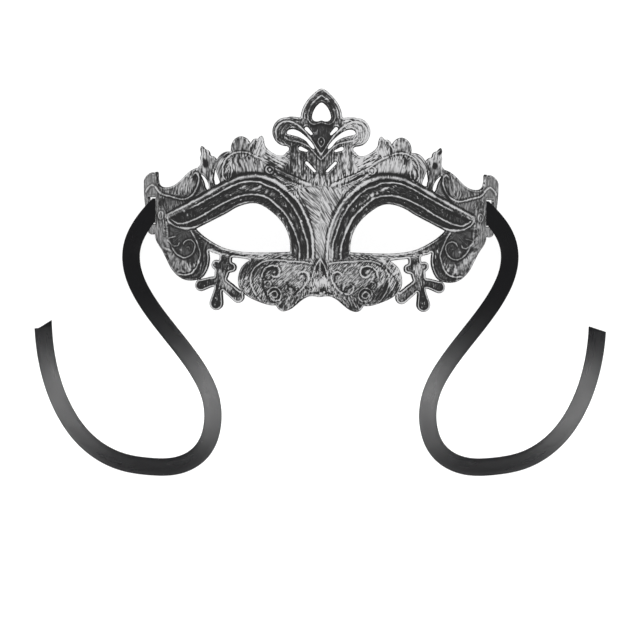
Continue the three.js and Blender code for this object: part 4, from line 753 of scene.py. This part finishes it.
def calmness(P):
    side, H = side_of(P), fold_over(P)
    Q, out = seen_from_flat(H), np.zeros(len(P))
    for which, cx, cy, rx, ry, amount in CALM:
        cu, cv = seen([(cx, cy)])[0]
        w = amount * np.exp(-((((Q[:, 0] - cu) / (rx * UNIT)) ** 2 + ((Q[:, 1] - cv) / (ry * UNIT)) ** 2) ** 1.5))
        out = np.maximum(out, np.where(side == which, w, 0) if which else w)
    for name, amount in CALM_FIELDS.items():
        w = smooth((signed(H, flat(catmull(FIELDS[name][4], True, 4)), 2.0) + 0.25) / 0.6)
        out = np.maximum(out, amount * w)
    return out


def strokes(P):
    """Across-stroke and along-stroke coordinates in mm, and the stroke field's number."""
    side, H = side_of(P), fold_over(P)
    best, out = np.full(len(P), -1.0), np.zeros((len(P), 3))
    for k, (which, cx, cy, rx, ry, rule) in enumerate(BRUSH):
        cu, cv = flat([(cx, cy)])[0]
        w = np.exp(-(((H[:, 0] - cu) / (rx * UNIT)) ** 2 + ((H[:, 1] - cv) / (ry * UNIT)) ** 2))
        if which:
            w = np.where(side == which, w, 0)
        win = w > best
        best[win] = w[win]
        short = rule[2] if len(rule) > 2 else 1.0
        if rule[0] == "to":
            h = math.radians(rule[1])
            x, y = H[:, 0] - cu, -(H[:, 1] - cv)
            along, across = x * math.cos(h) + y * math.sin(h), -x * math.sin(h) + y * math.cos(h)
        else:
            fu, fv = flat([rule[1]])[0]
            x, y = H[:, 0] - fu, H[:, 1] - fv
            along, across = np.hypot(x, y), np.arctan2(y, x) * 7.0
            if rule[0] == "round":
                along, across = across, along
        out[win] = np.stack([across * short**0.3, along * short, side * (k + 1) * 3.7 + 200], 1)[win]
    return out


# ------------------------------------------------------------------ the shell mesh
def line_rows():
    """Rows of vertices along the crest and the flanks of every raised line."""
    rows = []
    for line, half, *_ in line_runs(flat):
        s = np.r_[0, np.cumsum(np.hypot(*np.diff(line, axis=0).T))]
        t = np.linspace(0, s[-1], max(3, int(s[-1] / CELL)))
        at = np.stack([np.interp(t, s, line[:, 0]), np.interp(t, s, line[:, 1])], 1)
        ahead = np.gradient(at, axis=0)
        left = np.stack([-ahead[:, 1], ahead[:, 0]], 1) / (np.hypot(*ahead.T)[:, None] + 1e-9)
        rows += [at, at + left * max(half, 0.8 * CELL), at - left * max(half, 0.8 * CELL)]
    P = np.concatenate(rows)
    P = np.concatenate([P, P * (-1, 1)])
    P = P[field_at(P) > 0.3]
    P = P[to_rim(P) > 0.55 + 0.3 * CELL]
    kept, taken = [], {}
    for x, y in P:
        i, j = int(math.floor(x / CELL)), int(math.floor(y / CELL))
        if any((x - p[0]) ** 2 + (y - p[1]) ** 2 < (0.6 * CELL) ** 2 for a in (i - 1, i, i + 1) for b in (j - 1, j, j + 1) for p in taken.get((a, b), ())):
            continue
        taken.setdefault((i, j), []).append((x, y))
        kept.append((x, y))
    return np.array(kept)


def shell():
    ring = np.concatenate([loop for loop, _ in rims])
    inset = []
    for depth in (0.24, 0.55):
        Q = np.concatenate([loop + depth * left for loop, left in rims])
        inset.append(Q[to_rim(Q) > depth * 0.93])
    inset = np.concatenate(inset)
    along = line_rows()
    near = kdtree.KDTree(len(along))
    for i, (x, y) in enumerate(along):
        near.insert((x, y, 0), i)
    near.balance()
    inner = hexagons(CELL)
    inner = inner[to_rim(inner) > 0.55 + 0.45 * CELL]
    inner = inner[[near.find((x, y, 0))[2] > 0.7 * CELL for x, y in inner]]
    P, T = triangulate(np.concatenate([inset, along, inner]))
    rim = to_rim(P)
    rim[: len(ring)] = 0
    ground, lines, ink_and_shading, halo, pend = relief(P, rim)
    # how far the wall under each rim point faces up
    lefts = np.concatenate([left for _, left in rims])
    face = bend(*(ring - 0.3 * lefts).T, np.zeros(len(ring))) - bend(*ring.T, np.zeros(len(ring)))
    up = smooth((face[:, 2] / np.linalg.norm(face, axis=1) - 0.25) / 0.5)
    close = kdtree.KDTree(len(ring))
    for i, (x, y) in enumerate(ring):
        close.insert((x, y, 0), i)
    close.balance()
    # the painted shade at the rim is eased where the wall below faces up
    edge = np.nonzero(rim < 0.45)[0]
    ink_and_shading[edge] += 0.6 * up[[close.find((P[i, 0], P[i, 1], 0))[1] for i in edge]] * smooth(1.35 - rim[edge] / 0.26)
    down = RIM_ROUND - np.sqrt(np.maximum(0, RIM_ROUND**2 - np.maximum(0, RIM_ROUND - rim) ** 2))
    fade = smooth(rim / 0.5)
    front_w = ground * fade + lines * (0.4 + 0.6 * fade) - down
    n_front = len(P)
    parts = [np.column_stack([P, front_w])]
    faces = [T]
    # side wall rings
    rows = [-0.5 * WALL, -WALL + RIM_ROUND * 0.8]
    count = len(ring)
    for w in rows:
        parts.append(np.column_stack([ring, np.full(count, w)]))
    start = 0
    levels = [0, n_front, n_front + count]
    for loop, _ in rims:
        i = np.arange(len(loop)) + start
        j = (np.arange(len(loop)) + 1) % len(loop) + start
        for hi, lo in zip(levels[:-1], levels[1:]):
            faces.append(np.stack([lo + i, lo + j, hi + j], 1))
            faces.append(np.stack([lo + i, hi + j, hi + i], 1))
        start += len(loop)
    # inner face, plainer
    back_inset = np.concatenate([loop + 0.34 * left for loop, left in rims])[::2]
    back_inset = back_inset[to_rim(back_inset) > 0.3]
    back_inner = hexagons(BACK_CELL)
    back_inner = back_inner[to_rim(back_inner) > 0.34 + 0.5 * BACK_CELL]
    BP, BT = triangulate(np.concatenate([back_inset, back_inner]))
    extra = BP[count:]
    base = n_front + 2 * count
    extra_rim = to_rim(extra)
    soft = 0.35 * relief(extra, extra_rim)[0] * smooth(extra_rim / 1.2)
    parts.append(np.column_stack([extra, -WALL + np.clip(soft, -0.4, 0.25)]))
    BT = np.where(BT < count, BT + n_front + count, BT - count + base)[:, ::-1]
    faces.append(BT)
    flatpos = np.concatenate(parts)
    F = np.concatenate(faces)
    xyz = bend(flatpos[:, 0], flatpos[:, 1], flatpos[:, 2])
    xyz[:, 2] = np.maximum(xyz[:, 2], 0.0)
    xyz = to_row(xyz)
    mesh = bpy.data.meshes.new("mask")
    mesh.from_pydata(xyz.tolist(), [], F.tolist())
    mesh.update()
    mesh.polygons.foreach_set("use_smooth", np.ones(len(F), bool))
    obj = bpy.data.objects.new("mask", mesh)
    bpy.context.scene.collection.objects.link(obj)

    flat2 = flatpos[:, :2]
    total = len(flat2)

    def put(name, values, kind="FLOAT"):
        layer = mesh.attributes.new(name, kind, "POINT")
        layer.data.foreach_set("value" if kind == "FLOAT" else "vector", np.ascontiguousarray(values, dtype=np.float32).ravel())

    print("mask triangles", len(F), "feature vertices", len(P))
    pad = lambda a, fill=0.0: np.r_[a, np.full(total - len(a), fill)]
    cover_and_light = painted(flat2)
    put("cover_and_light", cover_and_light)
    wall_ink = np.tile(-0.9 + 0.92 * up, 2)
    put("ink_and_shading", np.r_[ink_and_shading, wall_ink, np.full(total - n_front - 2 * count, -0.9)])
    put("halo", pad(halo))
    put("top", np.r_[smooth(rim / 0.6), np.tile(0.5 * up, 2), np.zeros(total - n_front - 2 * count)])
    put("calm", calmness(flat2))
    is_back = np.zeros(total)
    is_back[n_front + count :] = 1.0
    put("inner_face", is_back)
    put("stroke", strokes(flat2), "FLOAT_VECTOR")
    put("plan", np.column_stack([flat2, flatpos[:, 2]]), "FLOAT_VECTOR")
    return obj


# --------------------------------------------------------------------- materials
def new_material(name):
    m = bpy.data.materials.new(name)
    m.use_nodes = True
    m.node_tree.nodes.clear()
    return m, m.node_tree


class Nodes:
    """Short hand for building a node tree."""

    def __init__(self, tree):
        self.tree = tree

    def add(self, kind, **props):
        node = self.tree.nodes.new(kind)
        for key, value in props.items():
            setattr(node, key, value)
        return node

    def link(self, a, b):
        self.tree.links.new(a, b)

    def value(self, socket, x):
        if hasattr(x, "is_linked") or isinstance(x, bpy.types.NodeSocket):
            self.link(x, socket)
        else:
            socket.default_value = x

    def math(self, op, a, b=0.0, c=0.0, clamp=False):
        n = self.add("ShaderNodeMath", operation=op, use_clamp=clamp)
        for s, x in zip(n.inputs, (a, b, c)):
            self.value(s, x)
        return n.outputs[0]

    def attribute(self, name, out="Fac"):
        return self.add("ShaderNodeAttribute", attribute_name=name).outputs[out]

    def noise(self, vector, scale, detail=2.0, rough=0.5, distort=0.0):
        n = self.add("ShaderNodeTexNoise")
        self.link(vector, n.inputs["Vector"])
        n.inputs["Scale"].default_value = scale
        n.inputs["Detail"].default_value = detail
        n.inputs["Roughness"].default_value = rough
        n.inputs["Distortion"].default_value = distort
        return n.outputs[0]

    def step(self, x, low, high, out_low=0.0, out_high=1.0):
        n = self.add("ShaderNodeMapRange", interpolation_type="SMOOTHSTEP")
        self.value(n.inputs[0], x)
        for s, y in zip(n.inputs[1:5], (low, high, out_low, out_high)):
            s.default_value = y
        return n.outputs[0]

    def mix(self, fac, a, b):
        n = self.add("ShaderNodeMix", data_type="RGBA")
        self.value(n.inputs[0], fac)
        for s, x in ((n.inputs[6], a), (n.inputs[7], b)):
            if isinstance(x, (tuple, list)):
                s.default_value = (*x, 1.0)
            else:
                self.link(x, s)
        return n.outputs[2]

    def scaled(self, vector, xyz):
        n = self.add("ShaderNodeVectorMath", operation="MULTIPLY")
        self.link(vector, n.inputs[0])
        n.inputs[1].default_value = xyz
        return n.outputs[0]


def antique_silver():
    m, tree = new_material("antique_silver")
    k = Nodes(tree)
    stroke = k.attribute("stroke", "Vector")
    plan = k.attribute("plan", "Vector")
    fine = k.noise(k.scaled(stroke, (1.9, 0.24, 1.0)), 1.0, 1.0, 0.6)
    broad = k.noise(k.scaled(stroke, (0.6, 0.12, 1.0)), 1.0, 1.0, 0.55)
    mottle = k.noise(plan, 0.5, 3.0, 0.6)
    speck = k.noise(k.scaled(stroke, (1.9, 0.9, 1.0)), 1.0, 0.0, 0.5)
    chip = k.noise(k.scaled(stroke, (1.2, 0.4, 1.0)), 1.0, 0.8, 0.6)
    patch = k.noise(plan, 0.23, 1.0, 0.5)
    cover_and_light, ink_and_shading, halo, calm = (k.attribute(n) for n in ("cover_and_light", "ink_and_shading", "halo", "calm"))
    rough = k.math("MULTIPLY_ADD", calm, -0.8, 1.0)
    # brush marks are boldest where the paint is thick
    vigour = k.math("MULTIPLY", k.math("MULTIPLY_ADD", cover_and_light, 0.8, 0.5), rough)
    vigour = k.math("MULTIPLY", vigour, k.step(ink_and_shading, 0.0, 0.65, 1.0, 0.3))
    marks = k.math("MULTIPLY", k.math("SUBTRACT", k.step(fine, 0.35, 0.65), 0.5), 0.97)
    marks = k.math("MULTIPLY_ADD", k.math("SUBTRACT", broad, 0.5), 0.4, marks)
    marks = k.math("MULTIPLY_ADD", k.math("SUBTRACT", mottle, 0.5), 0.35, marks)
    marks = k.math("MULTIPLY_ADD", k.math("SUBTRACT", speck, 0.5), 0.8, marks)
    total = k.math("MULTIPLY_ADD", marks, vigour, cover_and_light)
    # bare chips in the silver, and dabs of silver in the bare hollows
    chips = k.math("MULTIPLY", k.step(chip, 0.6, 0.7), k.step(patch, 0.42, 0.6))
    chips = k.math("MULTIPLY", chips, k.step(cover_and_light, 0.3, 0.6, 0.0, 0.95))
    dabs = k.math("MULTIPLY", k.step(chip, 0.39, 0.29), k.step(patch, 0.6, 0.44))
    dabs = k.math("MULTIPLY", dabs, k.step(cover_and_light, 0.2, 0.5, 0.7, 0.0))
    total = k.math("MULTIPLY_ADD", k.math("SUBTRACT", dabs, chips), rough, total)
    total = k.math("ADD", ink_and_shading, total)
    keep = k.math("MULTIPLY_ADD", cover_and_light, -0.4, 1.0)
    total = k.math("SUBTRACT", total, k.math("MULTIPLY", k.math("MULTIPLY", halo, keep), 0.75))
    paint = k.step(total, 0.22, 0.6)
    ramp = k.add("ShaderNodeValToRGB")
    k.link(total, ramp.inputs[0])
    stops = ((0.0, 0.017), (0.28, 0.028), (0.5, 0.105), (0.75, 0.29), (1.0, 0.58))
    while len(ramp.color_ramp.elements) < len(stops):
        ramp.color_ramp.elements.new(0.5)
    for element, (place, tone) in zip(ramp.color_ramp.elements, stops):
        element.position = place
        element.color = (tone, tone, tone * 1.01, 1.0)
    colour = ramp.outputs[0]
    inner = k.attribute("inner_face")
    colour = k.mix(inner, colour, (0.02, 0.02, 0.021))
    painted_front = k.math("MULTIPLY", paint, k.math("SUBTRACT", 1.0, inner))
    bsdf = k.add("ShaderNodeBsdfPrincipled")
    k.link(colour, bsdf.inputs["Base Color"])
    top = k.attribute("top")
    k.link(k.math("MULTIPLY", k.math("MULTIPLY", painted_front, 0.25), top), bsdf.inputs["Metallic"])
    k.link(k.step(painted_front, 0.0, 1.0, 0.45, 0.5), bsdf.inputs["Roughness"])
    k.link(k.math("MULTIPLY", top, 0.3), bsdf.inputs["Specular IOR Level"])
    height = k.math("MULTIPLY_ADD", fine, 0.5, k.math("MULTIPLY_ADD", paint, 0.35, k.math("MULTIPLY", speck, 0.35)))
    bump = k.add("ShaderNodeBump")
    bump.inputs["Strength"].default_value = 0.35
    bump.inputs["Distance"].default_value = 0.00012
    k.link(height, bump.inputs["Height"])
    k.link(bump.outputs[0], bsdf.inputs["Normal"])
    out = k.add("ShaderNodeOutputMaterial")
    k.link(bsdf.outputs[0], out.inputs[0])
    return m


def black_satin():
    m, tree = new_material("black_satin")
    k = Nodes(tree)
    run = k.attribute("run", "Vector")
    weave = k.add("ShaderNodeTexWave", wave_type="BANDS", bands_direction="X")
    k.link(k.scaled(run, (0.0, 3.2, 0.0)), weave.inputs["Vector"])
    yarn = k.noise(k.scaled(run, (0.35, 9.0, 1.0)), 1.0, 2.0, 0.6)
    cross = k.noise(k.scaled(run, (6.0, 1.2, 1.0)), 1.0, 2.0, 0.6)
    slub = k.noise(k.scaled(run, (0.05, 0.2, 1.0)), 1.0, 2.0, 0.5)
    colour = k.mix(k.step(yarn, 0.2, 0.8), (0.0030, 0.0030, 0.0036), (0.0065, 0.0065, 0.0074))
    bsdf = k.add("ShaderNodeBsdfPrincipled")
    k.link(colour, bsdf.inputs["Base Color"])
    k.link(k.step(slub, 0.2, 0.8, 0.26, 0.32), bsdf.inputs["Roughness"])
    bsdf.inputs["Specular IOR Level"].default_value = 0.3
    height = k.math("MULTIPLY_ADD", yarn, 0.6, k.math("MULTIPLY", cross, 0.5))
    bump = k.add("ShaderNodeBump")
    bump.inputs["Strength"].default_value = 0.5
    bump.inputs["Distance"].default_value = 0.00008
    k.link(height, bump.inputs["Height"])
    k.link(bump.outputs[0], bsdf.inputs["Normal"])
    out = k.add("ShaderNodeOutputMaterial")
    k.link(bsdf.outputs[0], out.inputs[0])
    return m


# ----------------------------------------------------------------------- ribbons
RIBBON_WIDTH, RIBBON_THICK, CAD_THICK = 8.5, 0.36, 0.6
RIBBON_TAB, GAP, FLOOR_GAP = 6.0, 0.35, 0.15
FOLD_CLEAR, FOLD_OUT, SWING = 0.9, 2.4, 9.0
FREE_RUN = {-1: 252.5, 1: 249.3}
END_CUT = {-1: 4.7, 1: 2.3}
DROP_FROM, DROP_TO = 5.0, 34.0
LAY = np.array([(0, 43.7, 43.7), (6, 56.2, 49.7), (12, 57.7, 59.7), (21, 79.6, 82.7), (31, 104.3, 105.9), (42, 119.2, 119.4), (54, 126.7, 126.2), (66, 129.5, 128.5), (78, 128.4, 127), (89, 123.2, 121.8), (99, 114.8, 111.2), (108, 97.7, 94.9), (116, 85.7, 82.5), (124, 72, 67.1), (132, 46.7, 41.5), (141, 21.6, 17.2), (152, -1.6, -3.9), (165, -7.2, -9.2), (183, -32, -35.4), (202, -55.6, -57.7), (222, -70.9, -72.8), (250.5, -87, -88.6)])  # distance, heading at left, heading at right
SLOT_FRONT, SLOT_MID, SLOT_FOOT = 165.3, 211.3, 224.6


def heading(s, side):
    """Heading along the lay, with its corners rounded off."""
    w = 5.0
    return np.radians(sum(np.interp(s + d, LAY[:, 0], LAY[:, 1 if side < 0 else 2]) for d in (-w, -w / 2, 0, w / 2, w)) / 5)


def ribbon(side):
    v_mid = (DATUM - SLOT_MID) * UNIT
    lead, half = float(np.radians(LAY[0, 1])), RIBBON_WIDTH / 2
    fold_u = float(flat([(SLOT_FRONT, SLOT_FOOT)])[0][0]) + FOLD_CLEAR
    deep = -WALL - GAP - CAD_THICK / 2
    reach = RIBBON_TAB * math.cos(lead)
    mids, sides, ups, run = [], [], [], []
    at = lambda u, v, w: bend(np.array([u]), np.array([v]), np.array([w]))[0]
    for t in np.linspace(reach, 0, 12):
        u, v, wide = fold_u - t, v_mid + t * math.tan(lead), half / math.cos(lead)
        a, b = at(u, v - wide, deep), at(u, v + wide, deep)
        mids.append((a + b) / 2)
        sides.append((b - a) / 2)
        ups.append(outward(np.array([u]), np.array([v]))[0])
    fold = at(fold_u, v_mid, deep)
    rest = FLOOR_GAP + CAD_THICK / 2
    high = fold[2] - CAD_THICK
    length, cut = FREE_RUN[side], END_CUT[side]
    n, fine = 200, 6
    ds = length / (n * fine)
    x, y = fold[0] + FOLD_OUT, v_mid
    wave = np.random.default_rng(5 + side)
    phase = wave.random(4) * 6.28
    for i in range(n * fine + 1):
        s = i * ds
        h = float(heading(s + ds / 2, side))
        if i % fine == 0:
            slant = lead * min(1.0, max(0.0, 1 - s / SWING))
            wide = half / math.cos(slant)
            z = rest + (high - rest) * (1 - float(smooth((s - DROP_FROM) / (DROP_TO - DROP_FROM))))
            lying = float(smooth((s - 26) / 14))
            # a lying ribbon lifts off the floor by a little here and there
            lift = 0.16 * (1 + math.sin(s / 17 + phase[0])) + 0.10 * (1 + math.sin(s / 7.5 + phase[1]))
            tilt = lying * (0.005 * math.sin(s / 21 + phase[2]) + 0.003 * math.sin(s / 9 + phase[3]))
            z += lying * lift + abs(tilt) * half - lying * 0.12
            a = np.array([math.sin(h - slant) * wide, math.cos(h - slant) * wide, tilt * wide])
            tip = (cut / 2) * smooth((s - length + 0.01) / 0.01) if i == n * fine else 0.0
            along = np.array([math.cos(h), -math.sin(h), 0.0])
            mids.append(np.array([x, y, z]))
            sides.append(a + along * tip)
            ups.append(None)
        x += ds * math.cos(h)
        y -= ds * math.sin(h)
    mids, sides = np.array(mids), np.array(sides)
    ahead = np.gradient(mids, axis=0)
    cross = np.cross(ahead, sides)
    cross /= np.linalg.norm(cross, axis=1, keepdims=True)
    for i, up in enumerate(ups):
        if up is not None:
            cross[i] = up
    # ease the face's turn at the fold
    for _ in range(3):
        cross[1:-1] = 0.25 * cross[:-2] + 0.5 * cross[1:-1] + 0.25 * cross[2:]
        cross /= np.linalg.norm(cross, axis=1, keepdims=True)
    travelled = np.r_[0, np.cumsum(np.linalg.norm(np.diff(mids, axis=0), axis=1))]
    # section: a flat band with rounded, slightly thicker selvedges
    across = np.array([-1, -0.985, -0.93, -0.86, -0.5, 0, 0.5, 0.86, 0.93, 0.985, 1])
    thick = np.array([0.25, 0.85, 1.0, 0.78, 0.72, 0.72, 0.72, 0.78, 1.0, 0.85, 0.25]) * RIBBON_THICK / 2
    points, coords = [], []
    for m, a, up, s in zip(mids, sides, cross, travelled):
        for sign, order in ((1, range(len(across))), (-1, range(len(across) - 1, -1, -1))):
            for j in order:
                points.append(m + a * across[j] + up * thick[j] * sign)
                coords.append((s, across[j] * half, sign))
    points, ring = np.array(points), 2 * len(across)
    points[:, 2] = np.maximum(points[:, 2], 0.06)
    points[:, 0] *= side
    faces = []
    rows = len(mids)
    for i in range(rows - 1):
        for j in range(ring):
            q = [i * ring + j, i * ring + (j + 1) % ring, (i + 1) * ring + (j + 1) % ring, (i + 1) * ring + j]
            faces.append(q if side < 0 else q[::-1])
    for base, flip in ((0, side > 0), ((rows - 1) * ring, side < 0)):
        for j in range(len(across) - 1):
            q = [base + j, base + j + 1, base + ring - 2 - j, base + ring - 1 - j]
            faces.append(q[::-1] if not flip else q)
    name = "ribbon_left_satin" if side < 0 else "ribbon_right_satin"
    mesh = bpy.data.meshes.new(name)
    mesh.from_pydata(to_row(points).tolist(), [], faces)
    mesh.update()
    mesh.polygons.foreach_set("use_smooth", np.ones(len(faces), bool))
    layer = mesh.attributes.new("run", "FLOAT_VECTOR", "POINT")
    layer.data.foreach_set("vector", np.array(coords, np.float32).ravel())
    obj = bpy.data.objects.new(name, mesh)
    bpy.context.scene.collection.objects.link(obj)
    centre = mids.copy()
    centre[:, 0] *= side
    path = to_row(centre)
    exit_at = path[12]
    print(name, "length", round(travelled[-1], 1), "mm")
    return obj, path, exit_at, travelled[-1] / 1000


# ------------------------------------------------------------------------- build
silver, satin = antique_silver(), black_satin()
mask = shell()
mask.data.materials.append(silver)
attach(mask, "root")
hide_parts("mask_shell")
for side, node in ((-1, "ribbon_left"), (1, "ribbon_right")):
    band, path, exit_at, length = ribbon(side)
    band.data.materials.append(satin)
    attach(band, "root")
    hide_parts(node)

# ------------------------------------------------------------------------- stage
def plane(name, size, material):
    mesh = bpy.data.meshes.new(name)
    h = size / 2
    mesh.from_pydata([(-h, -h, 0), (h, -h, 0), (h, h, 0), (-h, h, 0)], [], [(0, 1, 2, 3)])
    obj = bpy.data.objects.new(name, mesh)
    bpy.context.scene.collection.objects.link(obj)
    mesh.materials.append(material)
    return obj


paper, tree = new_material("paper")
k = Nodes(tree)
coords = k.add("ShaderNodeTexCoord").outputs["Object"]
grain = k.noise(coords, 900.0, 2.0, 0.5)
sheet = k.add("ShaderNodeBsdfPrincipled")
k.link(k.mix(grain, (0.90, 0.90, 0.90), (0.93, 0.93, 0.93)), sheet.inputs["Base Color"])
sheet.inputs["Roughness"].default_value = 0.9
sheet.inputs["Specular IOR Level"].default_value = 0.1
k.link(sheet.outputs[0], k.add("ShaderNodeOutputMaterial").inputs[0])
floor = plane("floor", 6.0, paper)
floor.location = (0, 0, -0.00005)


def lamp(name, location, target, size, power, size_y=None):
    data = bpy.data.lights.new(name, "AREA")
    data.shape = "RECTANGLE" if size_y else "SQUARE"
    data.size = size
    if size_y:
        data.size_y = size_y
    data.energy = power
    obj = bpy.data.objects.new(name, data)
    bpy.context.scene.collection.objects.link(obj)
    obj.location = location
    obj.rotation_euler = (Vector(target) - Vector(location)).to_track_quat("-Z", "Y").to_euler()
    return obj


centre_y = ((DATUM - 320) * UNIT + Y_SHIFT) / 1000
overhead = lamp("overhead", (0.0244, centre_y, 7.05), (0, centre_y, 0), 0.10, 450)
overhead.visible_camera = overhead.visible_glossy = False
lamp("window", (0.0, 1.0, 0.9), (0, 0, 0), 0.6, 3.0)
strip = lamp("low_strip", (0.0, -0.0955, 0.10), (0, -0.0955, 0), 0.32, 0.035, 0.034)
strip.data.spread = math.radians(50)
strip.visible_camera = False

world = bpy.data.worlds.new("studio")
world.use_nodes = True
world.node_tree.nodes["Background"].inputs[0].default_value = (1, 1, 1, 1)
world.node_tree.nodes["Background"].inputs[1].default_value = 0.30
bpy.context.scene.world = world

camera_data = bpy.data.cameras.new("camera")
camera = bpy.data.objects.new("camera", camera_data)
bpy.context.scene.collection.objects.link(camera)
distance, yaw, roll = 7.0, math.radians(0.2), math.radians(0.5)
target = Vector((0.00006, centre_y + 0.0004, 0.012))
camera.location = target + Vector((math.sin(yaw), 0, math.cos(yaw))) * distance
camera.rotation_euler = (Matrix.Rotation(yaw, 3, "Y") @ Matrix.Rotation(roll, 3, "Z")).to_euler()
camera_data.sensor_width = 36.0
camera_data.lens = 36.0 * distance / (640 * UNIT / 1000)
camera_data.clip_end = 20
bpy.context.scene.camera = camera
bpy.context.scene.view_settings.view_transform = "Standard"
